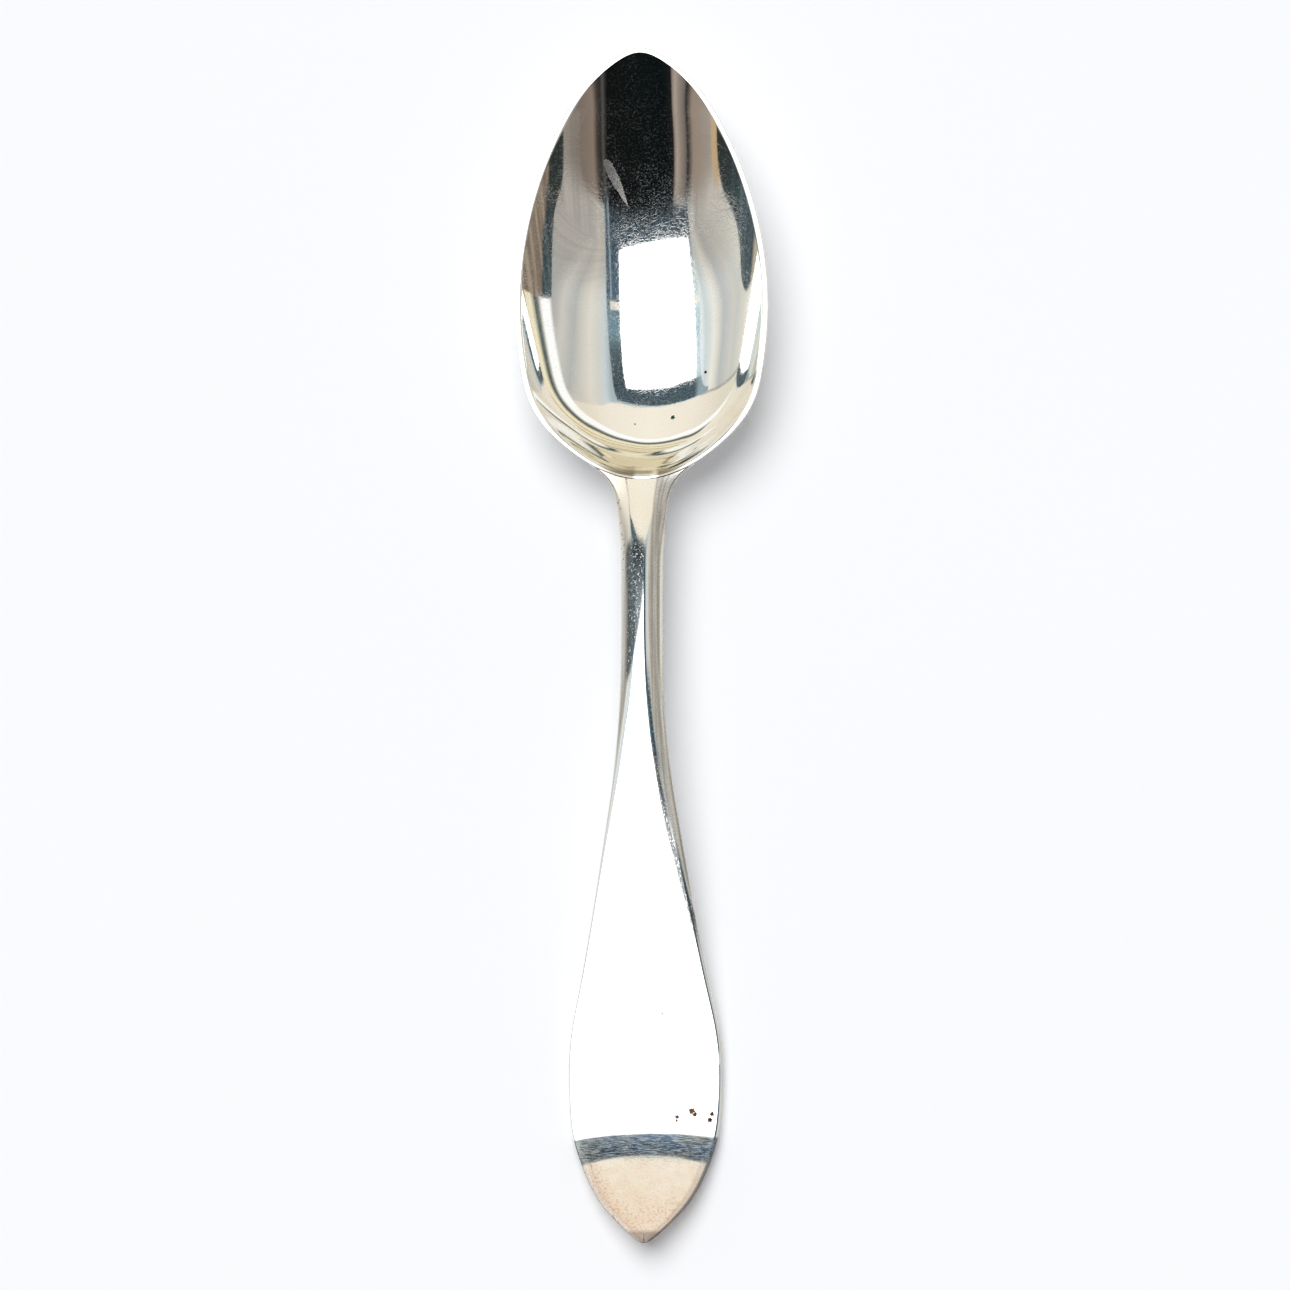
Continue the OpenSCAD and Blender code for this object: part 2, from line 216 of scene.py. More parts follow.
def corner(before: np.ndarray, tip: np.ndarray, after: np.ndarray) -> list[np.ndarray]:
    """Rings that round a sharp edge.

    Args:
        before: Ring where the rounding starts.
        tip: Ring of the sharp edge.
        after: Ring where the rounding ends.

    Returns:
        The rings from before to after, both included.
    """
    rings = []
    for t in np.linspace(0, 1, RIM_STEPS + 1):
        rings.append((1 - t) ** 2 * before + 2 * t * (1 - t) * tip + t * t * after)
    return rings


# Bowl


@dataclass(frozen=True)
class Skin:
    """One face of the bowl's shell, as a height over every plan point. Millimetres."""

    half_w: float
    tip_y: float
    root_y: float
    floor: float
    tip_drop: float
    side_drop: float


@dataclass
class Bowl:
    """The raised shell: a pointed oval basin with its own rim. Millimetres."""

    tip_y: float
    root_y: float
    half_w: float
    thickness: float = 1.3
    rim_w: float = 1
    rim_tip_w: float = 0.7
    rim_tip_h: float = 16
    rim_root_h: float = 10.4
    rim_sag: float = 0.8
    rim_edge_h: float = 0.6
    rim_tip_edge_h: float = 1.1
    rim_round: float = 0.22
    wall_power: float = 6
    point_share: float = 0.33
    heart_share: float = 0.72
    sides: int = 512
    rings: int = 96

    OUTLINE = (
        (0, 0.59), (0.03, 0.69), (0.07, 0.772), (0.15, 0.836), (0.3, 0.91), (0.45, 0.972), (0.6, 1.03),
        (0.75, 1.11), (0.87, 1.177), (0.93, 1.135), (1, 1.06),
    )
    KEEL = (
        (0, 1), (0.144, 0.807), (0.298, 0.554), (0.446, 0.29), (0.527, 0.159), (0.617, 0.055),
        (0.693, 0.0105), (0.77, 0), (0.834, 0.016), (0.885, 0.072), (0.923, 0.19), (0.955, 0.395),
        (0.98, 0.664), (1, 1),
    )
    ROUND = ((0, 1), (0.25, 0.96), (0.45, 0.88), (0.62, 0.79), (0.8, 0.7), (1, 0.62))

    def __post_init__(self) -> None:
        """Readies the curves that the form follows."""
        self.outline = Curve(self.OUTLINE)
        self.keel = Curve(self.KEEL)
        self.round = Curve(self.ROUND)
        self.peak = float(self.oval(np.linspace(0, 1, 4001)).max())
        self.inner = Skin(
            self.half_w - self.rim_w, self.tip_y - self.rim_tip_w, self.root_y + self.rim_w,
            self.thickness, 0, 0,
        )

    @classmethod
    def from_frame(cls) -> "Bowl":
        """The bowl in the place and size of its CAD node."""
        low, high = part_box("bowl")
        return cls(tip_y=high[1] / MM, root_y=low[1] / MM, half_w=(high[0] - low[0]) / 2 / MM)

    def outer(self, gap: float = 0) -> Skin:
        """The bowl's back, grown by a gap."""
        return Skin(
            self.half_w + gap, self.tip_y + gap, self.root_y - gap, -gap,
            self.rim_tip_edge_h, self.rim_edge_h,
        )

    def oval(self, t: Numbers) -> Numbers:
        """Half width of the outline, before it is brought to size, at a share of the length."""
        return np.sqrt(np.maximum(t * (1 - t), 0)) * self.outline(t)

    def share(self, skin: Skin, y: Numbers) -> Numbers:
        """Share of a skin's length, from the point."""
        return np.clip((skin.tip_y - y) / (skin.tip_y - skin.root_y), 0, 1)

    def width_at(self, skin: Skin, y: Numbers) -> Numbers:
        """Half width of a skin at y."""
        return skin.half_w * self.oval(self.share(skin, y)) / self.peak

    def rim_z(self, y: Numbers) -> Numbers:
        """Height of the rim's top."""
        t = (self.tip_y - y) / (self.tip_y - self.root_y)
        return mix(self.rim_tip_h, self.rim_root_h, t) - self.rim_sag * 4 * t * (1 - t)

    def edge_z(self, skin: Skin, y: Numbers) -> Numbers:
        """Height of a skin's edge."""
        drop = mix(skin.tip_drop, skin.side_drop, ease(self.share(skin, y) / self.point_share))
        return self.rim_z(y) - drop

    def height(self, skin: Skin, x: Numbers, y: Numbers) -> Numbers:
        """Height of a skin at plan points.

        Args:
            skin: The skin.
            x: Places across.
            y: Places along.

        Returns:
            The heights.
        """
        t = self.share(skin, y)
        top = self.edge_z(skin, y)
        low = mix(skin.floor, top, self.keel(t))
        width = self.width_at(skin, y)
        s = np.where(np.abs(x) < width, np.abs(x) / np.maximum(width, 1e-9), 1)
        a = self.round(t)
        return low + (top - low) * (a * s * s + (1 - a) * s**self.wall_power)

    def edge(self, skin: Skin) -> np.ndarray:
        """Plan points of a skin's edge, round from the point.

        Args:
            skin: The skin.

        Returns:
            An array of x and y.
        """
        angle = np.arange(self.sides) * 2 * np.pi / self.sides
        t = (1 - np.cos(angle)) / 2
        x = skin.half_w * np.where(angle > np.pi, -1, 1) * self.oval(t) / self.peak
        return np.stack([x, mix(skin.tip_y, skin.root_y, t)], -1)

    def skin_rings(self, skin: Skin, last: float) -> list[np.ndarray]:
        """Rings of a skin from near its heart to a plan distance from its edge.

        Args:
            skin: The skin.
            last: Distance of the last ring from the edge.

        Returns:
            Arrays of points.
        """
        edge = self.edge(skin)
        heart = np.array([0, mix(skin.tip_y, skin.root_y, self.heart_share)])
        reach = 1 - last / np.linalg.norm(edge - heart, axis=1)
        rings = []
        for i in range(1, self.rings + 1):
            u = i / self.rings
            plan = heart + (edge - heart) * (reach * u * (1.6 - 0.6 * u))[:, None]
            rings.append(np.column_stack([plan, self.height(skin, plan[:, 0], plan[:, 1])]))
        return rings

    def build(self) -> bpy.types.Object:
        """The bowl's mesh: inside, rounded rim and back in one closed skin.

        Returns:
            The mesh object.
        """
        back = self.outer()
        inside = self.skin_rings(self.inner, self.rim_round)
        outside = self.skin_rings(back, self.rim_round)
        inner_edge = self.edge(self.inner)
        outer_edge = self.edge(back)
        lip_in = np.column_stack([inner_edge, self.rim_z(inner_edge[:, 1])])
        lip_out = np.column_stack([outer_edge, self.rim_z(outer_edge[:, 1])])
        low_out = np.column_stack([outer_edge, self.edge_z(back, outer_edge[:, 1])])
        rim_width = np.linalg.norm(lip_out - lip_in, axis=1, keepdims=True)
        across = (lip_out - lip_in) / rim_width
        drop = lip_out - low_out
        down = drop / np.linalg.norm(drop, axis=1, keepdims=True)
        reach = self.rim_round
        rings = inside[:-1]
        rings += corner(inside[-1], lip_in, lip_in + across * reach)
        rings += corner(lip_out - across * reach, lip_out, lip_out - down * reach)
        rings += corner(low_out + down * reach * 0.8, low_out, outside[-1])
        rings += outside[-2::-1]
        hubs = []
        for skin in (self.inner, back):
            y = np.array(mix(skin.tip_y, skin.root_y, self.heart_share))
            hubs.append((0, y, self.height(skin, np.array(0), y)))
        return closed_mesh("bowl_shell", rings, np.array(hubs))


# Handle


@dataclass
class Handle:
    """The forging: blade, arched neck, shoulders and the tongue lapped under the bowl. Millimetres."""

    bowl: Bowl
    tip_y: float
    blade_half_w: float
    blade_t: float = 2.2
    nose_l: float = 8
    tip_lift: float = 4.2
    blade_edge_w: float = 1.5
    blade_edge_h: float = 0.22
    back_crown: float = 0.25
    neck_w: float = 7.7
    neck_t: float = 3.8
    neck_crown: float = 1.9
    neck_edge_w: float = 1.2
    neck_edge_h: float = 0.45
    crest_h: float = 12.4
    root_t: float = 4.4
    root_fall: float = 0.27
    blade_crown: float = 0.15
    shoulder_edge: float = 0.35
    shoulder_t: float = 1.5
    root_fillet: float = 2
    tongue_l: float = 8.6
    tongue_w: float = 10
    tongue_t: float = 0.75
    tongue_fillet: float = 1
    tongue_power: float = 3
    tongue_fade: float = 0.35
    joint_gap: float = 0.16
    under_rim: float = 0.45
    nose_inset: float = 0.6
    low_share: float = 0.2
    crest_share: float = 0.72
    shoulder_share: float = 0.037
    flare_place: float = 0.93
    flare_span: float = 0.085
    root_place: float = 0.9
    nose_rows: int = 36
    blade_rows: int = 260
    root_rows: int = 110
    tongue_rows: int = 60
    face_cols: int = 36
    edge_cols: int = 14

    CLIMB = ((0.26, 0.055), (0.37, 0.317), (0.5, 0.642), (0.61, 0.887))
    ROOT = ((0.815, 0.88), (0.915, 0.6), (0.96, 0.33))
    CURL = ((0, 1), (0.07, 0.417), (0.143, 0.072))
    BLADE = (
        (0, 0.252), (0.035, 0.47), (0.07, 0.69), (0.1, 0.825), (0.135, 0.935), (0.175, 0.985), (0.22, 1),
        (0.27, 0.968), (0.33, 0.852), (0.393, 0.729), (0.465, 0.604), (0.54, 0.482),
    )
    NECK = ((0.63, 1.28), (0.7, 1.06), (0.77, 1), (0.85, 1.005), (0.92, 1.05))
    FLARE = ((0.96, 0.12), (0.985, 0.24), (1.003, 0.48), (1.012, 0.7))
    ARCH = (
        (0, 0), (0.15, 0.01), (0.3, 0.04), (0.455, 0.14), (0.534, 0.26), (0.62, 0.36), (0.704, 0.55),
        (0.77, 0.85), (0.83, 1), (0.92, 0.8), (1, 0.25), (1.1, 0.05),
    )
    SWELL = ((0, 0), (0.3, 0.02), (0.45, 0.15), (0.6, 0.5), (0.72, 0.9), (0.8, 1), (0.9, 1), (1, 1))

    def __post_init__(self) -> None:
        """Readies the curves that the form follows."""
        bowl = self.bowl
        self.root_y = bowl.root_y
        self.length = self.root_y - self.tip_y
        self.shoulder_y = self.root_y + self.shoulder_share * (bowl.tip_y - bowl.root_y)
        self.shoulder_half_w = float(bowl.width_at(bowl.outer(), self.shoulder_y))
        self.tongue_y = self.root_y + self.tongue_l
        half_neck = self.neck_w / 2
        place = self.place
        self.width = Curve((
            *((p, s * self.blade_half_w) for p, s in self.BLADE),
            *((p, s * half_neck) for p, s in self.NECK),
            *((p, mix(half_neck, self.shoulder_half_w, s)) for p, s in self.FLARE),
            (place(self.shoulder_y), self.shoulder_half_w),
        ))
        root_h = bowl.rim_root_h
        fall = self.root_fall / (self.shoulder_y - self.root_y)
        self.face = Curve((
            *((p, self.blade_t + self.tip_lift * s) for p, s in self.CURL),
            (self.low_share, self.blade_t),
            *((p, mix(self.blade_t, self.crest_h, s)) for p, s in self.CLIMB),
            (self.crest_share, self.crest_h),
            *((p, mix(root_h, self.crest_h, s)) for p, s in self.ROOT),
            *((place(y), root_h - fall * (y - self.root_y))
              for y in (self.root_y, self.shoulder_y, self.tongue_y)),
        ))
        self.arch_curve = Curve(self.ARCH)
        self.swell = Curve(self.SWELL)

    @classmethod
    def from_frame(cls, bowl: Bowl) -> "Handle":
        """The handle in the place and size of its CAD node."""
        low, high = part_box("handle")
        return cls(bowl=bowl, tip_y=low[1] / MM, blade_half_w=(high[0] - low[0]) / 2 / MM)

    def place(self, y: Numbers) -> Numbers:
        """Share of the handle's length, from its point."""
        return (y - self.tip_y) / self.length

    def arch(self, p: Numbers) -> Numbers:
        """How much of the neck's arched section a place has."""
        return np.clip(self.arch_curve(p), 0, 1)

    def flared(self, p: Numbers) -> Numbers:
        """0 on the stem and 1 at the shoulders."""
        return ease((p - self.flare_place) / self.flare_span)

    def half_w(self, p: Numbers) -> Numbers:
        """Half width of the outline, with its rounded point."""
        u = 1 - np.minimum(p / (self.nose_l / self.length), 1)
        return np.sqrt(np.maximum(1 - u * u, 0)) * self.width(p)

    def edge_size(self, p: Numbers) -> tuple[Numbers, Numbers]:
        """Width and depth of the rounded edge beside the face.

        Args:
            p: Share of the handle's length.

        Returns:
            Width and depth.
        """
        arch, flared = self.arch(p), self.flared(p)
        wide = mix(mix(self.blade_edge_w, self.neck_edge_w, arch), self.shoulder_edge, flared)
        deep = mix(mix(self.blade_edge_h, self.neck_edge_h, arch), self.shoulder_edge, flared)
        return wide, deep

    def thickness(self, p: Numbers) -> Numbers:
        """Thickness of the stem and blade."""
        stem = mix(self.blade_t, self.neck_t, self.swell(p))
        return mix(stem, self.root_t, ease((p - self.root_place) / (1 - self.root_place)))

    def under(self, x: Numbers, y: Numbers, half: float) -> Numbers:
        """Height of the handle's back, which runs into the bowl's back and the tongue.

        Args:
            x: Places across.
            y: Places along.
            half: Half width of the section.

        Returns:
            The heights.
        """
        bowl = self.bowl
        p = self.place(y)
        q = np.minimum(np.abs(x) / half, 1)
        thick = self.thickness(p)
        stem = self.face(p) - thick + mix(self.back_crown, thick - self.shoulder_t, self.flared(p)) * q * q
        lap = bowl.height(bowl.outer(self.joint_gap), x, y) - self.tongue_t * (1 - self.tongue_fade * q * q)
        r = self.root_fillet
        h = np.clip((1 + (lap - stem) / r) / 2, 0, 1)
        joined = mix(lap, stem, h) - r * h * (1 - h)
        return np.where(y < self.root_y - r, stem, joined)

    def seat(self, x: Numbers, y: Numbers, z: Numbers) -> Numbers:
        """Lowers what lies under the bowl to the bowl's back.

        Args:
            x: Places across.
            y: Places along.
            z: Heights of the face.

        Returns:
            The lowered heights.
        """
        skin = self.bowl.outer(self.joint_gap)
        near = 0.01
        width = self.bowl.width_at(skin, y)
        turn = (self.bowl.width_at(skin, y + near) - self.bowl.width_at(skin, y - near)) / (2 * near)
        depth = (width - np.abs(x)) / np.sqrt(1 + turn * turn)
        covered = (depth > self.under_rim) & (y > skin.root_y + self.under_rim)
        return np.where(covered, np.minimum(z, self.bowl.height(skin, x, y)), z)

    def rows(self) -> list[Row]:
        """Cross-sections as y, half width, inward normal x and y, edge width and edge depth.

        Returns:
            The cross-sections from the point to the tongue's end.
        """
        nose = self.nose_l / self.length
        shoulder = float(self.place(self.shoulder_y))
        turns = ((i + END_GAP) / self.nose_rows * math.pi / 2 for i in range(self.nose_rows))
        places = [nose * (1 - math.cos(turn)) for turn in turns]
        places += list(np.linspace(nose, self.flare_place, self.blade_rows, endpoint=False))
        places += list(np.linspace(self.flare_place, shoulder, self.root_rows, endpoint=False))
        rows = []
        step = 0.0005
        for p in places:
            before = max(p - step, 0)
            lean = float(self.half_w(p + step) - self.half_w(before)) / (self.length * (p + step - before))
            size = math.sqrt(1 + lean * lean)
            wide, deep = self.edge_size(p)
            half = float(self.half_w(p))
            across = min(1 / size, self.nose_inset * half / wide)
            rows.append((self.tip_y + self.length * p, half, across, lean / size, wide, deep))
        for i in range(self.tongue_rows):
            y = mix(self.shoulder_y, self.tongue_y, i / (self.tongue_rows - END_GAP))
            v = (y - self.shoulder_y) / (self.tongue_y - self.shoulder_y)
            narrow = self.tongue_w / 2
            half = narrow * math.sqrt(max(1 - v**self.tongue_power, 0))
            half += (self.shoulder_half_w - narrow) * math.exp((self.shoulder_y - y) / self.tongue_fillet)
            rows.append((y, half, 1, 0, self.shoulder_edge, self.shoulder_edge))
        return rows

    def section(self, row: Row) -> np.ndarray:
        """Closed loop of points round the handle at one row.

        Args:
            row: The cross-section's sizes.

        Returns:
            An array of points.
        """
        y0, half, nx, ny, wide, deep = row
        crown = float(mix(self.blade_crown, self.neck_crown, self.arch(self.place(y0)))) / (half * half)
        angle = np.linspace(0, math.pi / 2, self.edge_cols + 1)[1:]
        inset = wide * (1 - np.sin(angle))
        face_w = half - wide * nx
        u = np.linspace(0, 1, self.face_cols + 1)
        x = np.concatenate([face_w * u, half - inset * nx])
        y = np.concatenate([np.full_like(u, y0 + wide * ny), y0 + inset * ny])
        drop = np.concatenate([np.zeros_like(u), deep * (1 - np.cos(angle))])
        top = self.face(self.place(y)) - crown * x * x - drop
        low = self.under(x, y, half) + drop
        top = self.seat(x, y, top)
        upper = np.column_stack([x, y, top])
        lower = np.column_stack([x, y, low])[::-1]
        right = np.vstack([upper, lower])
        left = right[-2:0:-1] * np.array([-1, 1, 1])
        return np.vstack([right, left])

    def build(self) -> bpy.types.Object:
        """The handle's mesh, closed at both ends.

        Returns:
            The mesh object.
        """
        sections = [self.section(row) for row in self.rows()]
        opposite = 2 * (self.face_cols + self.edge_cols) + 1
        first, last = sections[0], sections[-1]
        ends = np.array([
            [0, self.tip_y, (first[0, 2] + first[opposite, 2]) / 2],
            [0, self.tongue_y, (last[0, 2] + last[opposite, 2]) / 2],
        ])
        return closed_mesh("handle_forging", sections, ends)


# Node graphs


class Signal:
    """A number in a node tree, with plain arithmetic."""

    def __init__(self, graph: "Graph", socket: Socket) -> None:
        """Holds an output socket of a graph."""
        self.graph = graph
        self.socket = socket

    def math(self, operation: str, *others: "Signal | float") -> "Signal":
        """One math node on this number and others."""
        return self.graph.math(operation, self, *others)

    def __add__(self, other: "Signal | float") -> "Signal":
        """Sum."""
        return self.math("ADD", other)

    def __sub__(self, other: "Signal | float") -> "Signal":
        """Difference."""
        return self.math("SUBTRACT", other)

    def __mul__(self, other: "Signal | float") -> "Signal":
        """Product."""
        return self.math("MULTIPLY", other)

    def __truediv__(self, other: "Signal | float") -> "Signal":
        """Quotient."""
        return self.math("DIVIDE", other)

    def __invert__(self) -> "Signal":
        """One less this number, for a mask turned round."""
        return self.graph.math("SUBTRACT", 1, self)

    def abs(self) -> "Signal":
        """Size without sign."""
        return self.math("ABSOLUTE")

    def most(self, other: "Signal | float") -> "Signal":
        """The larger of two."""
        return self.math("MAXIMUM", other)

    def least(self, other: "Signal | float") -> "Signal":
        """The smaller of two."""
        return self.math("MINIMUM", other)

    def rise(self, start: float, end: float) -> "Signal":
        """Soft step: 0 at start and 1 at end, which may be the lower of the two.

        Args:
            start: Where it leaves 0.
            end: Where it reaches 1.

        Returns:
            The step.
        """
        node = self.graph.node("ShaderNodeMapRange", interpolation_type="SMOOTHSTEP")
        sign = 1 if end > start else -1
        self.graph.feed(node.inputs["Value"], self * sign if sign < 0 else self)
        node.inputs["From Min"].default_value = start * sign
        node.inputs["From Max"].default_value = end * sign
        return Signal(self.graph, node.outputs["Result"])

    def between(self, low: float, high: float, soft: float) -> "Signal":
        """1 between two values and 0 outside, with soft sides."""
        return self.rise(low - soft, low + soft) * self.rise(high + soft, high - soft)


class Graph:
    """A node tree with short calls for the few kinds of node that the finishes need."""

    def __init__(self, tree: bpy.types.NodeTree) -> None:
        """Empties the tree and takes it over."""
        self.tree = tree
        tree.nodes.clear()

    def node(self, kind: str, **settings: object) -> bpy.types.Node:
        """A new node with some of its settings.

        Args:
            kind: The node's type.
            settings: Settings by name.

        Returns:
            The node.
        """
        made = self.tree.nodes.new(kind)
        for key, value in settings.items():
            setattr(made, key, value)
        return made

    def feed(self, socket: Socket, value: object) -> None:
        """Links a signal or socket to an input, or sets the input to a plain value.

        Args:
            socket: The input.
            value: A signal, a socket or a plain value.
        """
        if isinstance(value, Signal):
            self.tree.links.new(value.socket, socket)
        elif isinstance(value, Socket):
            self.tree.links.new(value, socket)
        else:
            socket.default_value = value

    def math(self, operation: str, *values: "Signal | float") -> Signal:
        """One math node.

        Args:
            operation: The node's operation.
            values: Its inputs.

        Returns:
            Its result.
        """
        made = self.node("ShaderNodeMath", operation=operation)
        for socket, value in zip(made.inputs, values):
            self.feed(socket, value)
        return Signal(self, made.outputs[0])

    def blend(self, share: "Signal | float", low: object, high: object) -> Socket:
        """Colour between two colours or colour sockets.

        Args:
            share: 0 for low, 1 for high.
            low: The first colour.
            high: The second colour.

        Returns:
            The mixed colour.
        """
        made = self.node("ShaderNodeMix", data_type="RGBA")
        self.feed(made.inputs[0], share)
        for socket, value in ((made.inputs[6], low), (made.inputs[7], high)):
            self.feed(socket, (*value, 1) if isinstance(value, tuple) else value)
        return made.outputs[2]

    def curve(self, value: Signal, points: Knots) -> Signal:
        """Smooth curve through a few points of (input, output), held at both ends.

        Args:
            value: The input.
            points: The points, in order of their input.

        Returns:
            The curve's output.
        """
        first, last = points[0][0], points[-1][0]
        low = min(p[1] for p in points)
        high = max(p[1] for p in points)
        made = self.node("ShaderNodeFloatCurve")
        self.feed(made.inputs["Value"], ((value - first) / (last - first)).most(0).least(1))
        spots = [((place - first) / (last - first), (out - low) / (high - low)) for place, out in points]
        line = made.mapping.curves[0].points
        line[0].location = spots[0]
        line[1].location = spots[-1]
        for spot in spots[1:-1]:
            line.new(*spot)
        made.mapping.update()
        return Signal(self, made.outputs[0]) * (high - low) + low

    def ramp(self, value: Signal, stops: Stops) -> Socket:
        """Colour by a few stops of (input, colour).

        Args:
            value: The input.
            stops: Input, red, green and blue of each stop, as seen on screen in the silver.

        Returns:
            The colour.
        """
        first, last = stops[0][0], stops[-1][0]
        made = self.node("ShaderNodeValToRGB")
        self.feed(made.inputs[0], (value - first) / (last - first))
        band = made.color_ramp
        for i, (place, *colour) in enumerate(stops):
            if i in (0, len(stops) - 1):
                stop = band.elements[0 if i == 0 else -1]
            else:
                stop = band.elements.new((place - first) / (last - first))
            stop.color = (*seen(*colour), 1)
        return made.outputs[0]

    def vector(self, x: object, y: object, z: object = 0) -> Socket:
        """A vector from three numbers.

        Args:
            x: First number.
            y: Second number.
            z: Third number.

        Returns:
            The vector.
        """
        made = self.node("ShaderNodeCombineXYZ")
        for socket, value in zip(made.inputs, (x, y, z)):
            self.feed(socket, value)
        return made.outputs[0]

    def axes(self, vector: Socket) -> tuple[Signal, Signal, Signal]:
        """The three numbers of a vector.

        Args:
            vector: The vector.

        Returns:
            Its x, y and z.
        """
        made = self.node("ShaderNodeSeparateXYZ")
        self.feed(made.inputs[0], vector)
        return tuple(Signal(self, out) for out in made.outputs)

    def noise(self, vector: object, scale: float, detail: float = 2, twist: float = 0) -> Signal:
        """Smooth noise from 0 to 1.

        Args:
            vector: Position.
            scale: Changes per unit.
            detail: Finer layers.
            twist: Swirl.

        Returns:
            The noise.
        """
        made = self.node("ShaderNodeTexNoise", noise_dimensions="3D")
        self.feed(made.inputs["Vector"], vector)
        made.inputs["Scale"].default_value = scale
        made.inputs["Detail"].default_value = detail
        made.inputs["Distortion"].default_value = twist
        return Signal(self, made.outputs[0])

    def turned(self, vector: object, angle: float, stretch: Triple) -> Socket:
        """A vector turned about Z by degrees, then stretched along each axis.

        Args:
            vector: The vector.
            angle: Degrees.
            stretch: Factor along each axis.

        Returns:
            The new vector.
        """
        turn = self.node("ShaderNodeMapping")
        self.feed(turn.inputs["Vector"], vector)
        turn.inputs["Rotation"].default_value = (0, 0, math.radians(angle))
        scale = self.node("ShaderNodeMapping")
        self.feed(scale.inputs["Vector"], turn.outputs[0])
        scale.inputs["Scale"].default_value = stretch
        return scale.outputs[0]


# Finishes


class Finish:
    """A new node material with its graph, object position in millimetres and shader."""

    def __init__(self, name: str, metallic: float = 1) -> None:
        """Makes the material.

        Args:
            name: The material's name.
            metallic: 1 for metal.
        """
        self.material = bpy.data.materials.new(name)
        self.material.use_nodes = True
        self.g = g = Graph(self.material.node_tree)
        where = g.node("ShaderNodeTexCoord").outputs["Object"]
        self.place = g.turned(where, 0, (1 / MM, 1 / MM, 1 / MM))
        self.shader = g.node("ShaderNodeBsdfPrincipled")
        self.shader.inputs["Metallic"].default_value = metallic
        g.feed(g.node("ShaderNodeOutputMaterial").inputs["Surface"], self.shader.outputs[0])

    def bump(self, height: Signal, distance: float) -> None:
        """Gives the surface fine relief.

        Args:
            height: The relief.
            distance: Metres for each unit of it.
        """
        node = self.g.node("ShaderNodeBump")
        node.inputs["Distance"].default_value = distance
        self.g.feed(node.inputs["Height"], height)
        self.g.feed(self.shader.inputs["Normal"], node.outputs[0])


@dataclass(frozen=True)
class Spot:
    """A dark pit or stain at a plan place. Millimetres."""

    x: float
    y: float
    radius: float
    colour: Colour = (0.02, 0.025, 0.02)


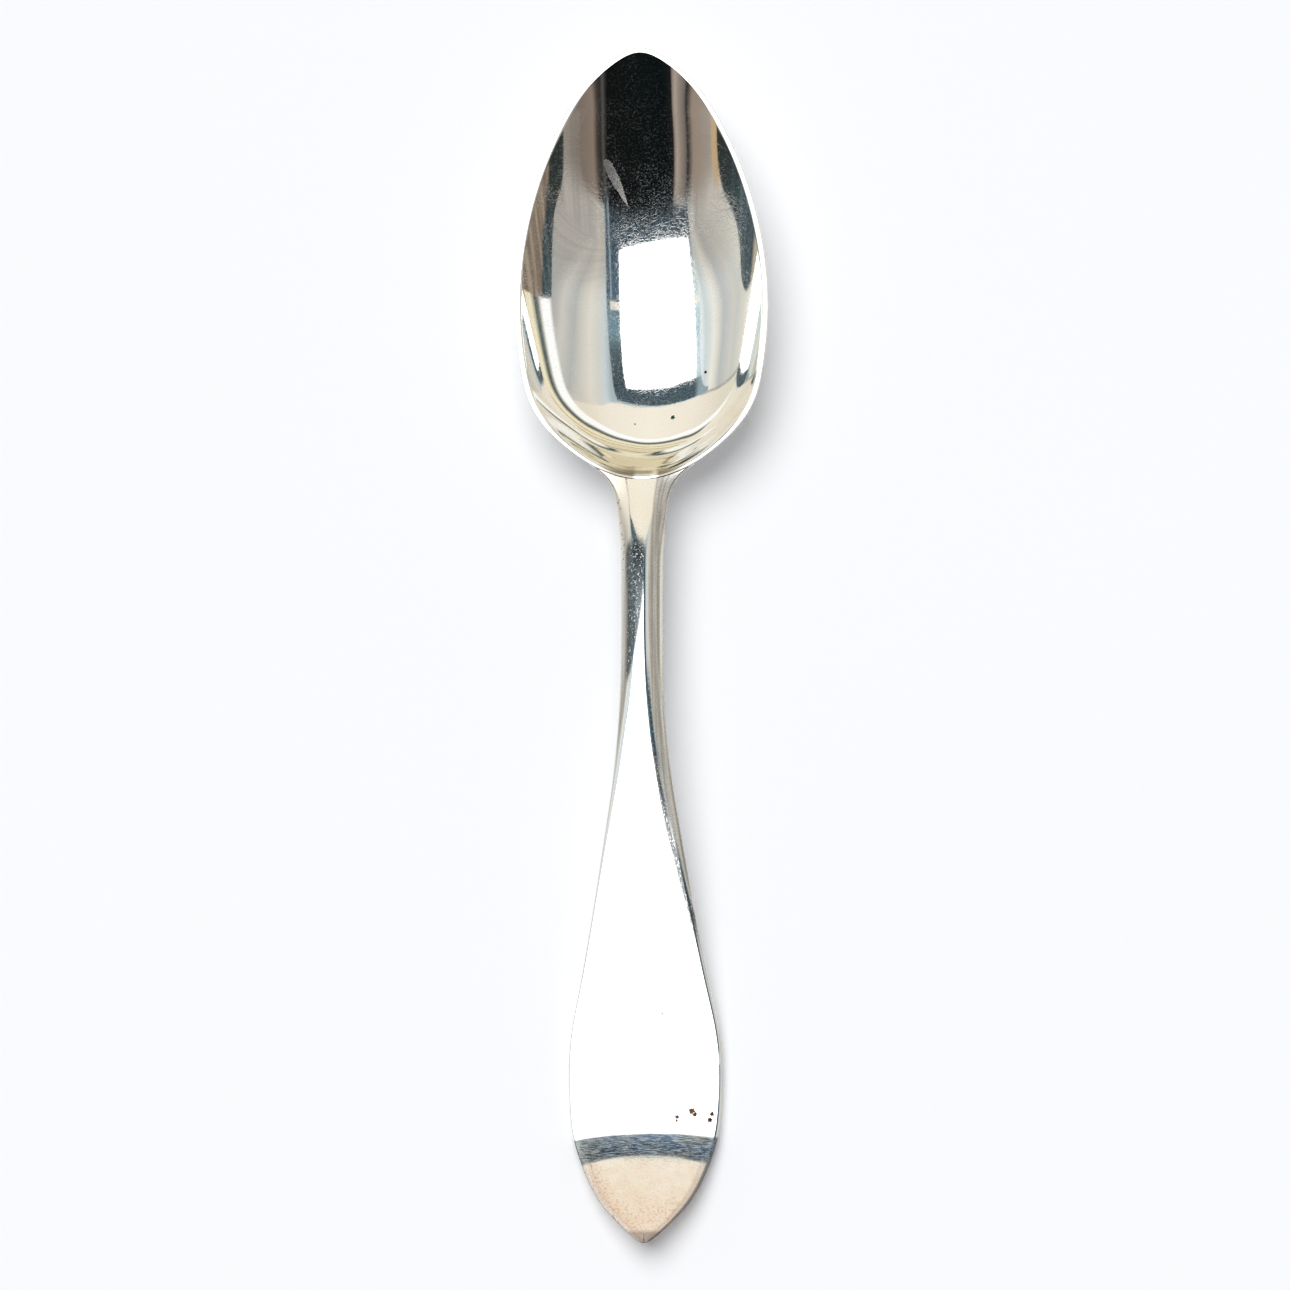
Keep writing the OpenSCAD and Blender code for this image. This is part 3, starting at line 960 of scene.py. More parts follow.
@dataclass(frozen=True)
class Silver:
    """Worn, polished silver with fine scratches, hairlines, tarnish, pits and stains."""

    name: str
    metal: Colour = SILVER
    warm: Colour = (0.915, 0.885, 0.82)
    roughness: float = 0.006
    fine_roughness: float = 0.04
    fine_depth: float = 0.0009
    dust: float = 0.1
    wear: Knots = ((-110, 1), (110, 0.99))
    hair_roughness: float = 0.24
    hairlines: float = 0.16
    waviness: float = 0.4
    fine_angles: tuple[float, ...] = (14, -31, 68, -77)
    spots: tuple[Spot, ...] = ()

    def scratches(self, g: Graph, place: object, angles: tuple[float, ...], across: float, along: float,
                  share: float) -> Signal:
        """Straight thin scratches in several directions.

        Args:
            g: The material's graph.
            place: Object position in millimetres.
            angles: Degrees by which each set is turned.
            across: Lines per millimetre across the set.
            along: Changes per millimetre along a scratch.
            share: Noise value over which a scratch shows, so higher is sparser.

        Returns:
            A mask from 0 to 1.
        """
        total = None
        for number, angle in enumerate(angles):
            x, y, z = g.axes(g.turned(place, angle, (across, along, along)))
            bend = g.noise(g.turned(place, angle, (0.08, 0.05, 0.05)), 1, 0)
            field = g.noise(g.vector(x + bend * (6 * across), y, z + 13.7 * number), 1, 0)
            line = field.rise(share, share + 0.05)
            total = line if total is None else total.most(line)
        return total

    def marks(self, g: Graph, place: object) -> list[Mark]:
        """Marks that only this piece has: mask, colour, roughness and depth in millimetres.

        Args:
            g: The material's graph.
            place: Object position in millimetres.

        Returns:
            The marks, the lowest first.
        """
        return []

    def build(self) -> bpy.types.Material:
        """The finish as a node material.

        Returns:
            The material.
        """
        made = Finish(self.name)
        g, place, shader = made.g, made.place, made.shader
        x, y, _ = g.axes(place)
        worn = (g.noise(place, 0.16, 2, 0.4).rise(0.35, 0.65) * 0.7 + 0.3) * g.curve(y, self.wear)
        fine = self.scratches(g, place, self.fine_angles, 4.2, 0.7, 0.62) * worn
        hair = self.scratches(g, place, (22, -52, 81), 3.1, 0.2, 0.72) * self.hairlines
        grain = g.noise(place, 3.1, 2).rise(0.5, 0.7) * worn * self.dust
        g.feed(shader.inputs["Metallic"], ~grain)
        cloud = g.noise(place, 0.07, 3, 0.6)
        tarnish = cloud.rise(0.42, 0.72) * 0.7
        colour = g.blend(tarnish, self.metal, self.warm)
        colour = g.blend(hair * 0.1, colour, (0.62, 0.61, 0.59))
        colour = g.blend(grain, colour, (0.5, 0.72, 0.82))
        rough = g.noise(place, 0.35, 3).rise(0.35, 0.8) * 0.006 + self.roughness
        rough = rough + fine * self.fine_roughness
        rough = rough + hair * self.hair_roughness
        height = (g.noise(place, 0.11, 1) - 0.5) * (0.003 * self.waviness)
        height = height + (g.noise(place, 0.45, 1) - 0.5) * (0.0005 * self.waviness)
        height = height - fine * self.fine_depth - hair * 0.0006
        for spot in self.spots:
            away = (x - spot.x).math("POWER", 2) + (y - spot.y).math("POWER", 2)
            away = away.math("SQRT") + (g.noise(place, 3.2, 2) - 0.5) * (spot.radius * 1.6)
            mask = away.rise(spot.radius * 1.15, spot.radius * 0.7)
            colour = g.blend(mask, colour, spot.colour)
            rough = rough + mask * 0.5
            height = height - mask * 0.03
        for mask, tint, roughness, depth in self.marks(g, place):
            colour = g.blend(mask, colour, tint)
            rough = rough + mask * roughness
            height = height - mask * depth
        made.bump(height, MM)
        g.feed(shader.inputs["Base Color"], colour)
        g.feed(shader.inputs["Roughness"], rough)
        return made.material


@dataclass(frozen=True)
class BowlSilver(Silver):
    """The bowl's finish, with a dull smear near its point that is partly a painted light streak, and painted
    shade on the rim above the handle. Millimetres.
    """

    hairlines: float = 0.2
    dust: float = 0.3
    wear: Knots = ((30, 0.35), (44, 0.5), (58, 0.9), (70, 1), (80, 1), (86, 0.6), (91, 0.3),
                   (98, 0.18), (110, 0.12))
    spots: tuple[Spot, ...] = (
        Spot(5.16, 42.89, 0.42, (0.01, 0.06, 0.04)), Spot(-1.98, 41.7, 0.17), Spot(11.34, 51.09, 0.28),
    )
    smear_highlight_path: Knots = ((81.8, -2.8), (86.6, -5.1), (90.3, -6.75))
    smear_highlight_half_w: Knots = ((81.8, 0.02), (84, 0.5), (87.5, 0.95), (90.3, 0.15))
    root_y: float = 30

    def marks(self, g: Graph, place: object) -> list[Mark]:
        """The smear, partly a painted light streak, and painted shade on the rim above the handle, with a
        painted dark line just inside it.

        Args:
            g: The material's graph.
            place: Object position in millimetres.

        Returns:
            The marks, the lowest first.
        """
        x, y, _ = g.axes(place)
        # Partly a dull smear and partly a painted highlight: a rough, warm streak near the bowl's point that
        # stands for a light streak there.
        across = (x - g.curve(y, self.smear_highlight_path)).abs() - g.curve(y, self.smear_highlight_half_w)
        across = across + (g.noise(place, 1.6, 2) - 0.5) * 0.3
        smear_highlight = across.rise(0.1, -0.1) * y.between(self.smear_highlight_path[0][0], self.smear_highlight_path[-1][0], 0.2)
        # Painted shade: dark brown over the rim and inner wall above the handle, with a strip near the middle
        # left free.
        painted_rim_shade = y.rise(self.root_y + 3.4, self.root_y + 1.2) * ~x.between(-1.4, 2.8, 0.5)
        # Painted shade: a dark line just inside the rim above the handle, in colour only.
        painted_crease_shade = y.between(self.root_y + 1.1, self.root_y + 1.9, 0.25) * x.between(-3.4, 1.8, 0.6)
        return [
            (smear_highlight, (0.86, 0.81, 0.76), 0.19, 0),
            (painted_rim_shade, (0.3, 0.27, 0.22), 0.12, 0),
            (painted_crease_shade * 0.7, (0.25, 0.23, 0.19), 0.1, 0),
        ]


@dataclass(frozen=True)
class HandleSilver(Silver):
    """The handle's finish: matt stem sides with painted reflections and painted shade, pits, a scratched band
    painted dark as a reflection and a stained point with painted shade at its end. Millimetres.
    """

    stain: Colour = (0.87, 0.73, 0.64)
    stain_y: float = -94
    band_y: float = -90.2
    pit_top: float = 31
    pit_low: float = 13
    half_widths: Knots = ((-110, 14), (32, 14))
    hairlines: float = 0.1
    fine_depth: float = 0.0004
    fine_angles: tuple[float, ...] = (84, 97, 71, -64)
    spots: tuple[Spot, ...] = (
        Spot(8.58, -86.03, 0.55, (0.16, 0.075, 0.045)), Spot(9.1, -86.65, 0.4, (0.12, 0.055, 0.035)),
        Spot(5.83, -87.13, 0.36, (0.14, 0.08, 0.055)), Spot(5.8, -87.75, 0.26, (0.2, 0.12, 0.08)),
        Spot(12.26, -86.58, 0.4, (0.08, 0.045, 0.03)), Spot(11.9, -87.68, 0.42, (0.05, 0.03, 0.02)),
        Spot(3.17, -68.29, 0.16, (0.2, 0.2, 0.2)), Spot(-4.32, -82.37, 0.14, (0.25, 0.25, 0.25)),
    )
    matt_reflection_right: Knots = ((-50, 0.98), (-40, 0.84), (-32, 0.7), (-21, 0.56), (-3, 0.36), (10, 0.3), (24, 0.42))
    matt_reflection_left: Knots = ((-30, 1.02), (-21, 0.93), (-12, 0.74), (-3, 0.54), (10, 0.44), (24, 0.46))
    # Course and half width of the painted dark streak on the neck
    dark_streak_path: Knots = ((-7, -2.6), (1, -1.75), (8, -1.25), (17, -1.2), (20, -0.8))
    dark_streak_half_w: Knots = ((-7, 0.3), (1, 1), (8, 1.45), (16, 1.65), (20, 0.5))

    def marks(self, g: Graph, place: object) -> list[Mark]:
        """The handle's marks, from the stem to the point."""
        return self.stem_marks(g, place) + self.point_marks(g, place)

    def stem_marks(self, g: Graph, place: object) -> list[Mark]:
        """Matt stem sides with painted reflection colours, painted brown shade and painted dark lines, a
        painted dark line on the right, a painted dark streak with painted light specks on the neck, and the
        pits beside it.

        Args:
            g: The material's graph.
            place: Object position in millimetres.

        Returns:
            The marks, the lowest first.
        """
        x, y, _ = g.axes(place)
        half = g.curve(y, self.half_widths)
        out = x.abs() / half
        right = x.rise(-0.2, 0.2)
        # Where the matt sides, tinted as a painted reflection, begin on each side
        start = g.curve(y, self.matt_reflection_right) * right + g.curve(y, self.matt_reflection_left) * ~right
        stem = y.rise(-52, -44) * y.rise(33, 30.5)
        # Painted dark lines along the matt sides, which stand for lines in the reflection
        painted_dark_lines = g.noise(g.vector(out * 11, y * 0.02), 1, 2).rise(0.4, 0.6)
        matt_painted_reflection = (out - start).rise(-0.02, 0.12) * stem
        root = y.rise(12, 26)
        shade = g.noise(g.turned(place, -24, (0.5, 0.12, 0.5)), 1, 1).rise(0.35, 0.65)
        # Painted shade: patchy brown over the right side along the stem, and brown over the left side below y 8
        # to 20 mm
        brown = right * y.between(-60, 27, 4) * (shade * 0.4 + 0.3) + y.rise(20, 8) * ~right * 0.45
        cell = g.node("ShaderNodeTexVoronoi", feature="F1")
        g.feed(cell.inputs["Vector"], place)
        cell.inputs["Scale"].default_value = 1.9
        pit = Signal(g, cell.outputs["Distance"]).rise(0.3, 0.18)
        pit = pit * g.noise(place, 0.9, 1).rise(0.4, 0.55)
        # Painted shade: a dark bluish line along the inner edge of the right matt side, in colour only; the
        # metal has no seam there.
        seam = (out - start).between(-0.11, 0.02, 0.03) * right * y.rise(-1, -12) * y.rise(-58, -50)
        edge = out.rise(0.72, 0.86) * x.rise(0, -0.5) * y.between(self.pit_low, self.pit_top, 3)
        # Speck pattern for the painted dark streak and the painted dark line
        painted_speck_noise = g.noise(g.turned(place, 0, (4.2, 2.4, 4.2)), 1, 3)
        # A painted reflection: a dark bluish streak along the neck, with painted light specks in it
        painted_dark_streak = ((x - g.curve(y, self.dark_streak_path)).abs() - g.curve(y, self.dark_streak_half_w)).rise(0.3, -0.3)
        painted_dark_streak = painted_dark_streak * y.between(-7, 18.5, 1.5)
        return [
            # Rough matt sides tinted as a painted reflection, then painted brown shade and painted dark lines
            # over them
            (matt_painted_reflection, (0.74, 0.71, 0.66), 0.24, 0),
            (matt_painted_reflection * brown, (0.56, 0.53, 0.49), 0, 0),
            (matt_painted_reflection * painted_dark_lines * 0.7, (0.38, 0.36, 0.33), 0.03, 0.0005),
            # A painted highlight line near the right edge
            (matt_painted_reflection * right * out.between(0.87, 0.95, 0.03) * y.rise(24, 14), (0.82, 0.79, 0.74), 0, 0),
            # A painted cream reflection on the left side near the root
            (root * matt_painted_reflection * ~right * 0.9, (0.84, 0.78, 0.68), 0.12, 0),
            # The painted dark streak
            (painted_dark_streak * (painted_speck_noise.rise(0.4, 0.52) * 0.13 + 0.85), (0.09, 0.115, 0.13), 0.1, 0),
            # The painted dark line on the right side
            (seam * (painted_speck_noise.rise(0.36, 0.5) * 0.5 + 0.45), (0.12, 0.135, 0.14), 0.1, 0),
            # Painted glints: light bluish specks in the painted dark streak
            (painted_dark_streak * painted_speck_noise.rise(0.58, 0.64) * 0.8, (0.8, 0.84, 0.86), 0.3, 0),
            (pit * edge, (0.12, 0.11, 0.1), 0.3, 0.02),
        ]

    def point_marks(self, g: Graph, place: object) -> list[Mark]:
        """The stained point with its rust, painted shade at its very end and on its rim, and the scratched band
        above it, painted dark and bluish as a reflection.

        Args:
            g: The material's graph.
            place: Object position in millimetres.

        Returns:
            The marks, the lowest first.
        """
        x, y, _ = g.axes(place)
        inset = g.curve(y, self.half_widths) - x.abs()
        right = x.rise(-0.2, 0.2)
        blotch = g.noise(place, 0.5, 4, 0.6).rise(0.3, 0.75)
        fleck = g.noise(place, 2.6, 4).rise(0.4, 0.75)
        bow = y + x * x * 0.0145 - x * 0.01
        low = bow.rise(self.stain_y + 0.6, self.stain_y - 1)
        point = low * (blotch * 0.45 + fleck * 0.4 + bow.rise(self.stain_y, self.stain_y - 12) * 0.4)
        side = inset.rise(5.5, 0.5)
        rust = x.rise(-2, -9) * low * side * 0.9 + low * y.rise(-97, -106) * 0.6
        rust = g.noise(place, 2.4, 3).rise(0.5, 0.68) * rust
        tip = y.rise(-93.5, -96)
        # Painted shade: the point's rim, darker on the right side than on the left
        point_rim_shade = inset.rise(0.75, 0.45) * tip
        # The scratched band: its scratch lines are real bumps, while its dark colour, bluish patch and light
        # and dark lines are a painted reflection.
        band = (y + x * x * 0.0055 - x * 0.02).rise(self.band_y + 0.3, self.band_y - 0.3)
        band = band * bow.rise(self.stain_y - 0.3, self.stain_y + 0.5)
        lined = g.noise(g.turned(place, 3, (0.6, 10.5, 10.5)), 1, 3, 0.7)
        painted_bluish_patch = g.noise(g.turned(place, 0, (0.22, 0.5, 0.5)), 1, 1).rise(0.38, 0.6) * x.rise(-13, -3)
        return [
            (point, self.stain, 0.1, 0),
            (low * side * ~right * 0.6, (0.8, 0.64, 0.54), 0, 0),
            (inset.rise(2, 1.2) * tip, (0.68, 0.59, 0.51), 0.24, 0),
            # Painted shade: the point's very end darker and rougher
            (low * y.rise(-107.4, -108.4), (0.42, 0.36, 0.32), 0.22, 0),
            (point_rim_shade * right, (0.26, 0.24, 0.23), 0.1, 0),
            (point_rim_shade * ~right, (0.6, 0.54, 0.49), 0.1, 0),
            (rust, (0.6, 0.4, 0.29), 0.2, 0),
            (band, (0.19, 0.2, 0.185), 0.1, 0),
            (band * painted_bluish_patch, (0.11, 0.155, 0.21), 0, 0),
            (band * lined.rise(0.52, 0.62) * 0.8, (0.36, 0.41, 0.44), 0.14, 0.002),
            (band * lined.rise(0.44, 0.34) * 0.9, (0.03, 0.04, 0.06), 0.2, 0),
        ]


@dataclass(frozen=True)
class Solder:
    """Hard solder: dull, grainy grey metal."""

    name: str = "hard_solder"
    metal: Colour = (0.56, 0.53, 0.48)
    dark: Colour = (0.3, 0.28, 0.25)

    def build(self) -> bpy.types.Material:
        """The finish as a node material.

        Returns:
            The material.
        """
        made = Finish(self.name)
        g, shader = made.g, made.shader
        grain = g.noise(made.place, 4, 4)
        g.feed(shader.inputs["Base Color"], g.blend(grain.rise(0.35, 0.7), self.metal, self.dark))
        g.feed(shader.inputs["Roughness"], grain * 0.3 + 0.3)
        made.bump(grain, 0.02 * MM)
        return made.material


# Studio


class Room:
    """What the silver mirrors, by direction: degrees from straight up, u to the right, v along the spoon."""

    now: Socket

    def __init__(self, g: Graph) -> None:
        """Works out u and v for the direction in hand.

        Args:
            g: The world's graph.
        """
        self.g = g
        dx, dy, dz = g.axes(g.node("ShaderNodeTexCoord").outputs["Generated"])
        lean = dz.least(1).most(-1).math("ARCCOSINE") * math.degrees(1)
        flat = (dx * dx + dy * dy).math("SQRT").most(1e-5)
        self.u = lean * dx / flat
        self.v = lean * dy / flat

    def lay(self, mask: Signal, colour: object) -> None:
        """Lays a colour over the room so far, where the mask is 1."""
        self.now = self.g.blend(mask, self.now, colour)

    def panels(self) -> None:
        """Fabric panels on both sides, with soft folds that fan out from the softbox's lower corners."""
        g, u, v = self.g, self.u, self.v
        sag = (v.least(0) / 20).math("POWER", 2).least(0.95)
        wave = (g.noise(g.vector(u * 0.05, v * 0.05), 1, 2) - 0.5) * 5
        left = (u + sag * 24) / (sag * -0.8 + 1) + wave
        right = (u - sag * 16) / (sag * -0.8 + 1) - v.most(0) * u.rise(30, 60) * 0.7 + wave
        left_side = g.ramp(left, (
            (-88, 240, 238, 226), (-79, 216, 214, 200), (-72, 199, 201, 194), (-68, 207, 204, 194),
            (-64, 196, 198, 194), (-59, 186, 190, 188), (-55, 218, 215, 205), (-50.5, 236, 234, 224),
            (-47, 218, 222, 219), (-44, 204, 214, 214), (-41.5, 232, 240, 241), (-39, 214, 226, 230),
        ))
        right_side = g.ramp(right, (
            (18, 168, 182, 186), (22, 200, 209, 210), (26, 210, 209, 200), (32.5, 222, 216, 203),
            (38, 203, 199, 188), (42.5, 178, 180, 176), (47, 191, 190, 183), (52, 203, 200, 190),
            (57, 184, 182, 175), (63, 168, 167, 162),
        ))
        self.now = g.blend(u.rise(-15, 5), left_side, right_side)
        streak = g.noise(g.vector(left * 0.07, v * 0.012, 3), 1, 1).rise(0.3, 0.75)
        low = g.blend(streak, seen(146, 140, 133), seen(182, 173, 162))
        self.lay(v.rise(-7, -20) * 0.7, low)

    def ceiling(self) -> None:
        """Cream ceiling beyond the panels, with a thin shadow line at its edge on the left."""
        g, u, v = self.g, self.u, self.v
        edge = g.curve(u, (
            (-85, 19.5), (-60, 18), (-48, 16.6), (-30, 15.6), (0, 14.6), (15, 14.5), (25, 17.3), (35, 19.5),
            (60, 25),
        ))
        cream = g.ramp((u + 9.5).abs(), (
            (0, 246, 238, 220), (30, 240, 231, 213), (50, 229, 221, 203), (62, 222, 216, 199),
        ))
        line = (v - edge).between(-1.2, 0, 0.3) * u.rise(-40, -46) * u.rise(-86, -80)
        self.lay((v - edge).rise(-0.4, 0.6), cream)
        self.lay(line * 0.75, seen(160, 159, 154))

    def rings(self) -> None:
        """White, dark and yellow rings near the horizon, and the dark, brown ends below them."""
        g, u, v = self.g, self.u, self.v
        wide = ((u + 9.5) / 72.5).math("POWER", 2)
        ring = (wide + (v / 53).math("POWER", 2)).math("SQRT") - wide.least(1) * 0.12 + 0.05
        ring = ring + g.curve(u, (
            (-95, -0.08), (-82, -0.08), (-56, -0.09), (-37, -0.01), (-6, 0.02), (25, 0.08), (50, 0.02),
            (90, 0),
        ))
        glow = g.ramp(ring, (
            (0.9, 232, 228, 214), (0.945, 255, 255, 252), (1.04, 255, 255, 252), (1.07, 200, 195, 178),
            (1.095, 108, 116, 112), (1.135, 70, 84, 88), (1.165, 188, 180, 150), (1.2, 242, 233, 204),
            (1.27, 232, 218, 184), (1.285, 116, 108, 84), (1.3, 240, 230, 198), (1.37, 230, 216, 182),
            (1.385, 122, 112, 86), (1.4, 226, 212, 176), (1.56, 214, 200, 166), (1.58, 104, 104, 84),
            (1.6, 222, 210, 180), (1.78, 206, 192, 158), (1.8, 100, 100, 82), (1.83, 226, 214, 184),
        ))
        floor = g.curve(u, ((-95, 2), (-82, 0.6), (-76, -2.5), (-66, -14), (0, -24), (50, -18),
                            (60, -3.7), (70, -0.8), (80, 2.1), (95, 7.5)))
        self.lay(ring.rise(0.905, 0.945) * (v - floor).rise(-0.3, 0.3), glow)

    def slate(self) -> None:
        """Dark slate and brown room ends on both sides of the panels."""
        g, u, v = self.g, self.u, self.v
        floor = g.curve(u, ((-95, 2), (-86, 1), (-78, -1.5), (-50, -4), (50, -5), (60, -3.7),
                            (70, -0.8), (80, 2.1), (95, 7.5)))
        grain = g.noise(g.vector(u * 0.25, v * 0.06), 1, 3, 0.4)
        slate = g.blend(grain.rise(0.35, 0.7), seen(48, 60, 62), seen(84, 98, 102))
        slate = g.blend(v.rise(-14, -20), slate, seen(44, 50, 48))
        brown = g.blend(grain.rise(0.4, 0.6), seen(120, 106, 92), seen(158, 142, 122))
        parting = g.curve(v, ((-22, 50), (-17, 57), (-12, 63.5), (-8, 66), (0, 70.5)))
        right_edge = g.curve(v, ((-40, 20), (-30, 31), (-21.8, 42.6), (-16, 53.5), (-3.5, 60.5), (3, 63)))
        left_edge = g.curve(v, ((-45, -25), (-34, -34), (-25, -41), (-23, -46.5), (-20.5, -51),
                                (-11.6, -69), (-2, -76.5), (2, -83)))
        below = (floor - v).rise(-0.3, 0.3)
        right_end = g.blend((u - parting).rise(-0.8, 0.8), slate, brown)
        trim = (u - left_edge).between(-0.2, 2.6, 0.5) * v.rise(-18.8, -20.3)
        self.lay(trim, seen(188, 162, 124))
        self.lay((u - right_edge).rise(-0.3, 0.4) * below, right_end)
        left_end = g.blend(u.rise(-83, -87), slate, seen(178, 170, 152))
        self.lay((left_edge - u).rise(-0.3, 0.4) * v.rise(2, 0), left_end)

    def dark_end(self) -> None:
        """Dark room end below the softbox, with light posts on both sides."""
        g, u, v = self.g, self.u, self.v
        edge = g.curve(u, ((-50, -20.6), (-40, -21.2), (-30, -22.1), (-20, -22.7), (18, -22.8),
                           (30, -22.5), (46, -21.3)))
        spread = v + 25
        place = u - spread * u.rise(0, -10) + spread * u.rise(0, 10) * 0.75
        posts = g.ramp(place, (
            (-60, 128, 118, 108), (-46, 150, 138, 126), (-38, 146, 130, 114), (-36, 92, 84, 76),
            (-34.3, 34, 40, 42), (-32.8, 112, 103, 95), (-29.5, 142, 130, 120), (-27.3, 166, 153, 141),
            (-25.8, 140, 128, 118), (-25, 26, 26, 25), (-20, 10, 17, 18), (0, 14, 18, 18), (17, 15, 17, 17),
            (18.4, 52, 50, 47), (19.3, 84, 80, 76), (20.2, 62, 60, 57), (20.9, 44, 43, 40),
            (23, 66, 60, 54), (25.5, 132, 118, 106), (33, 120, 108, 98), (46, 110, 104, 96),
        ))
        soft = u.rise(-20, -34).most(u.rise(20, 34)) * -0.88 + 1
        self.lay(((edge - v) * soft).rise(-0.12, 0.12) * u.between(-75, 70, 1), posts)

    def softbox(self) -> None:
        """The white softbox in its bluish frame."""
        g, u, v = self.g, self.u, self.v
        left = g.curve(v, ((-20, -31.4), (-17.5, -33.2), (-10, -35.7), (0, -37.2), (10, -38)))
        right = g.curve(v, ((-20, 11.6), (-5, 12), (3, 11.2), (10, 8.4)))
        low = g.curve(u, ((-31, -19.2), (-20, -20), (-8, -20.35), (3, -20), (11.5, -19.3)))
        high = 10.35
        frame_left = g.curve(v, ((-22, -31.5), (-14, -37), (-6, -40), (8, -41), (14, -49)))
        frame_right = g.curve(v, ((-22, 19.4), (-8, 20.3), (0, 19.6), (8, 17.6), (14, 13.8)))
        frame_high = g.curve(u, ((-50, 15.7), (-38, 15.6), (-20, 15), (0, 14.1), (14, 13.6)))
        frame_low = g.curve(u, ((-31, -21.8), (-24, -22.5), (-18, -23), (19, -23.1)))
        left_side = g.ramp(v, (
            (-20, 112, 128, 132), (-14, 190, 201, 201), (-6, 204, 219, 224), (0, 176, 200, 209),
            (9, 204, 219, 224), (15, 150, 172, 178),
        ))
        right_side = g.ramp(v, (
            (-22, 46, 66, 82), (-12, 62, 86, 104), (-8, 74, 98, 114), (-4, 104, 132, 144),
            (0, 108, 136, 146), (4, 72, 90, 96), (9, 54, 70, 76), (13.5, 36, 50, 58),
        ))
        edging = g.blend(u.rise(-20, 4), left_side, right_side)
        speckle = g.noise(g.vector(u * 0.9, v * 2.4), 1, 3).rise(0.35, 0.65)
        top = g.blend(speckle, seen(38, 54, 62), seen(74, 94, 102))
        top = g.blend(u.rise(-37, -42) * 0.75, top, seen(158, 180, 185))
        bottom = g.blend(speckle, seen(30, 46, 58), seen(66, 86, 98))
        bottom = g.blend(v.rise(-21.3, -22.9), bottom, seen(18, 24, 28))
        tape = v.between(-8.6, -6.4, 0.25) * (u.between(12.5, 18.2, 0.4) + u.between(-41, -37, 0.4))
        speck = g.noise(g.vector(u * 2.1, v * 2.1, 4), 1, 2)
        for mask, colour in (
            ((v - high).rise(-0.2, 0.5), top),
            ((low - v).rise(-0.2, 0.5), bottom),
            (u.between(18.3, 20.2, 0.4) * v.rise(-6, -9) * 0.8, seen(58, 78, 90)),
            (u.between(16.9, 17.9, 0.3) * v.rise(-8, -10) * 0.6, seen(170, 186, 194)),
            (tape, seen(240, 233, 216)),
            (speck.rise(0.45, 0.7) * 0.2, seen(190, 205, 210)),
        ):
            edging = g.blend(mask, edging, colour)
        outside = (frame_left - u).most(u - frame_right).most(v - frame_high).most(frame_low - v)
        self.lay(outside.rise(0.3, -0.3), edging)
        lit = (left - u).most(u - right).most(v - high).most(low - v)
        self.lay(lit.rise(0.12, -0.12), (SOFTBOX, SOFTBOX, SOFTBOX))

    def colour(self) -> Socket:
        """The whole room, laid from back to front.

        Returns:
            Its colour.
        """
        for part in (self.panels, self.ceiling, self.rings, self.dark_end, self.slate, self.softbox):
            part()
        return self.now


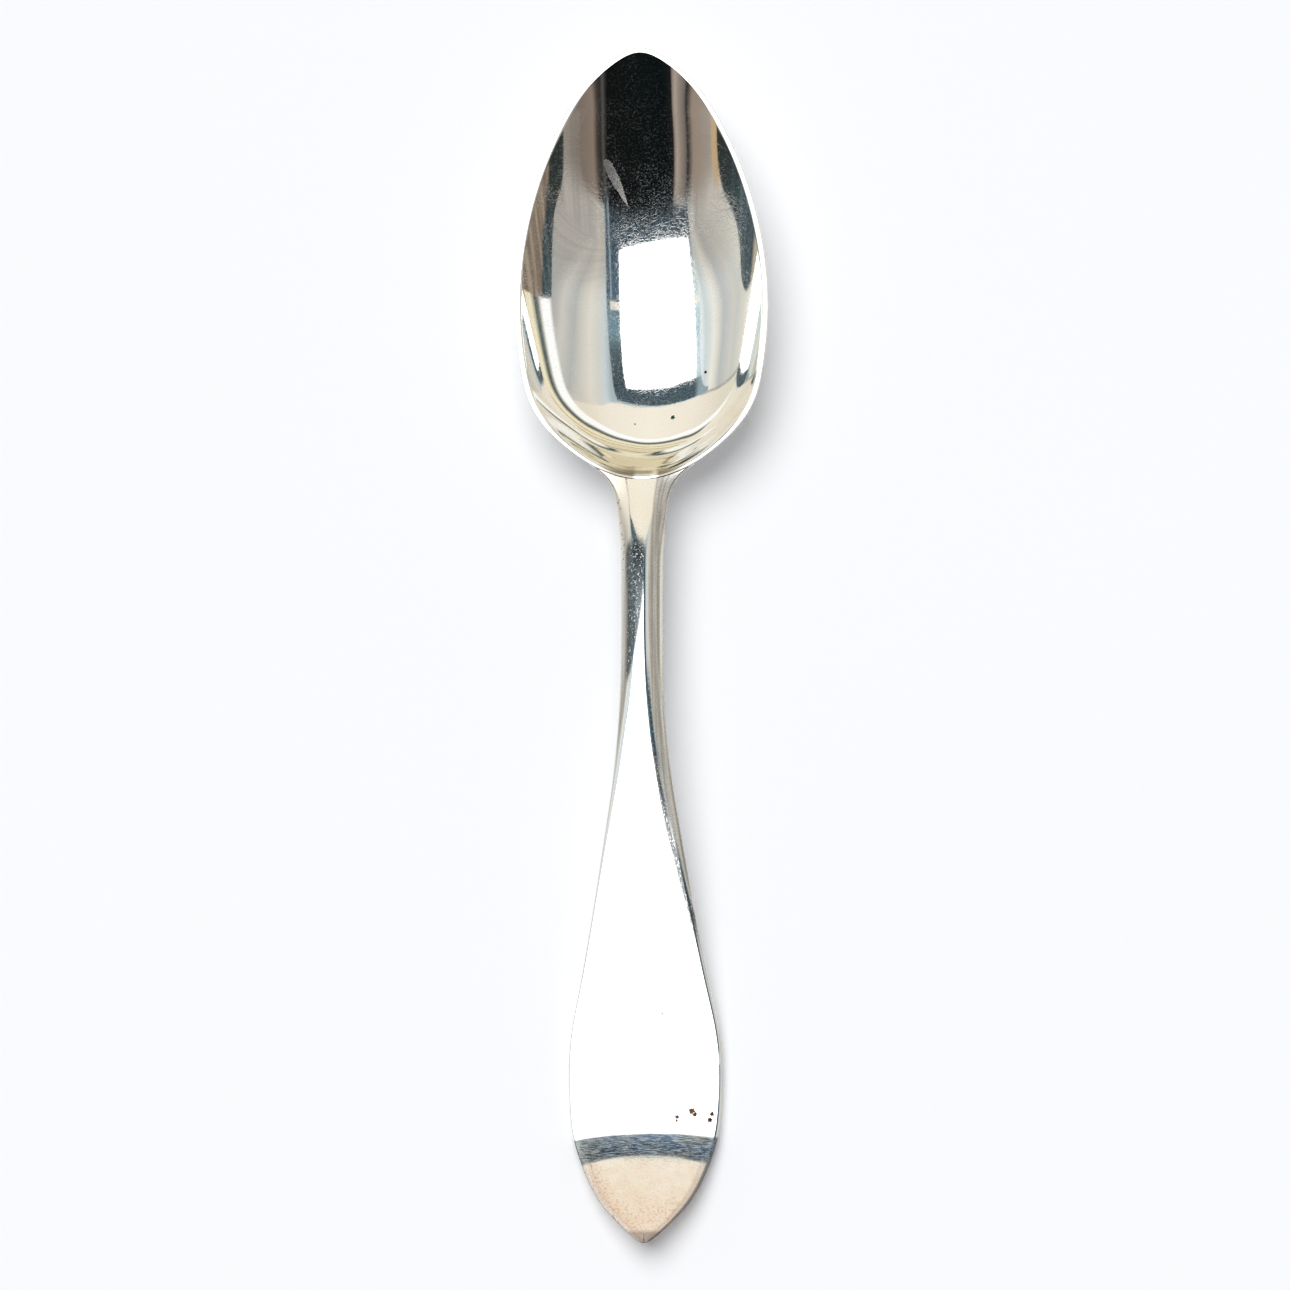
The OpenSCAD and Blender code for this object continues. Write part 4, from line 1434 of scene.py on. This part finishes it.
@dataclass(frozen=True)
class Studio:
    """Pale table, soft light from the upper left, the room and the camera. Millimetres, degrees."""

    table_size: float = 4000
    table_colour: Colour = (0.955, 0.965, 0.985)
    dome_colour: Colour = (0.98, 0.985, 1)
    dome_light: float = 0.23
    backdrop: Colour = (0.965, 0.973, 0.991)
    key_strength: float = 2.37
    key_spread: float = 50
    fill_strength: float = 0.4
    lamp_from: Triple = (-0.18, 0.5, 1)
    camera_distance: float = 850
    camera_lean: tuple[float, float] = (4.5, 6)
    camera_target: Triple = (0.22, -0.28, 6)
    view_angle: float = 15.98

    def build(self) -> None:
        """Table, world, lamp and camera."""
        self.table()
        self.world()
        self.lamp("key_lamp", self.key_strength, self.key_spread, True)
        self.lamp("fill_lamp", self.fill_strength, 0, False)
        self.camera()

    def table(self) -> None:
        """The pale table top."""
        half = self.table_size / 2
        points = np.array([[-half, -half, 0], [half, -half, 0], [half, half, 0], [-half, half, 0]])
        top = mesh_object("table_top", points, [(0, 1, 2, 3)])
        made = Finish("pale_table", 0)
        made.shader.inputs["Roughness"].default_value = 0.9
        made.shader.inputs["Specular IOR Level"].default_value = 0
        darker = tuple(c * 0.99 for c in self.table_colour)
        cloud = made.g.noise(made.place, 6 * MM, 2)
        made.g.feed(made.shader.inputs["Base Color"], made.g.blend(cloud, self.table_colour, darker))
        top.data.materials.append(made.material)

    def world(self) -> None:
        """The room for the silver, a pale backdrop for the camera and an even, weak light for the table."""
        world = bpy.data.worlds.new("studio_room")
        bpy.context.scene.world = world
        world.use_nodes = True
        g = Graph(world.node_tree)
        path = g.node("ShaderNodeLightPath")
        room = Room(g).colour()
        even = tuple(c * self.dome_light / ROOM_STRENGTH for c in self.dome_colour)
        backdrop = tuple(c / ROOM_STRENGTH for c in self.backdrop)
        colour = g.blend(Signal(g, path.outputs["Is Glossy Ray"]), even, room)
        colour = g.blend(Signal(g, path.outputs["Is Camera Ray"]), colour, backdrop)
        background = g.node("ShaderNodeBackground")
        g.feed(background.inputs["Color"], colour)
        background.inputs["Strength"].default_value = ROOM_STRENGTH
        output = g.node("ShaderNodeOutputWorld")
        g.feed(output.inputs["Surface"], background.outputs[0])

    def lamp(self, name: str, strength: float, spread: float, shadow: bool) -> None:
        """One lamp on the table, which the silver doesn't mirror.

        Args:
            name: The lamp's name.
            strength: Light on a surface that faces it, in watts a square metre.
            spread: Breadth of the lamp as seen from the table, in degrees.
            shadow: Whether it casts shadows, which a weak fill light needn't.
        """
        data = bpy.data.lights.new(name, "SUN")
        data.energy = strength
        data.angle = math.radians(spread)
        data.use_shadow = shadow
        lamp = bpy.data.objects.new(name, data)
        bpy.context.scene.collection.objects.link(lamp)
        lamp.location = self.lamp_from
        lamp.rotation_euler = Vector(self.lamp_from).to_track_quat("Z", "Y").to_euler()
        lamp.visible_glossy = False
        lamp.visible_camera = False

    def camera(self) -> None:
        """The camera at the photograph's viewing angle."""
        lean_x, lean_y = (math.tan(math.radians(a)) for a in self.camera_lean)
        away = Vector((lean_x, -lean_y, 1)).normalized()
        target = Vector(self.camera_target) * MM
        side = Vector((0, 1, 0)).cross(away).normalized()
        up = away.cross(side)
        data = bpy.data.cameras.new("photo_camera")
        data.sensor_width = SENSOR
        data.lens = SENSOR / 2 / math.tan(math.radians(self.view_angle / 2))
        data.clip_start = 0.01
        camera = bpy.data.objects.new("photo_camera", data)
        bpy.context.scene.collection.objects.link(camera)
        turn = Matrix((side, up, away)).transposed().to_4x4()
        camera.matrix_world = Matrix.Translation(target + away * self.camera_distance * MM) @ turn
        bpy.context.scene.camera = camera


def show(piece: bpy.types.Object, node: str, slot: Slot, material: bpy.types.Material) -> None:
    """Dresses a piece and puts it in its CAD node's stead.

    Args:
        piece: The finer mesh.
        node: The CAD node that it stands for.
        slot: The record's material slot; not used.
        material: The finish.
    """
    piece.data.materials.append(material)
    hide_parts(node)
    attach(piece, BODY)
    LOG.info("%s stands for %s, %d faces", piece.name, node, len(piece.data.polygons))


def main() -> None:
    """Builds the spoon and its studio."""
    scene = bpy.context.scene
    scene.view_settings.view_transform = "Standard"
    bowl = Bowl.from_frame()
    handle = Handle.from_frame(bowl)
    edge = tuple((y, float(handle.half_w(handle.place(y)))) for y in EDGE_PLACES)
    handle_finish = HandleSilver("handle_silver", half_widths=edge)
    show(bowl.build(), "bowl", Slot.BOWL, BowlSilver("bowl_silver").build())
    show(handle.build(), "handle", Slot.HANDLE, handle_finish.build())
    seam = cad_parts["solder_seam"]
    seam.data.materials.clear()
    seam.data.materials.append(Solder().build())
    LOG.info("solder_seam keeps its CAD mesh")
    Studio().build()


if __name__ == "__main__":
    main()
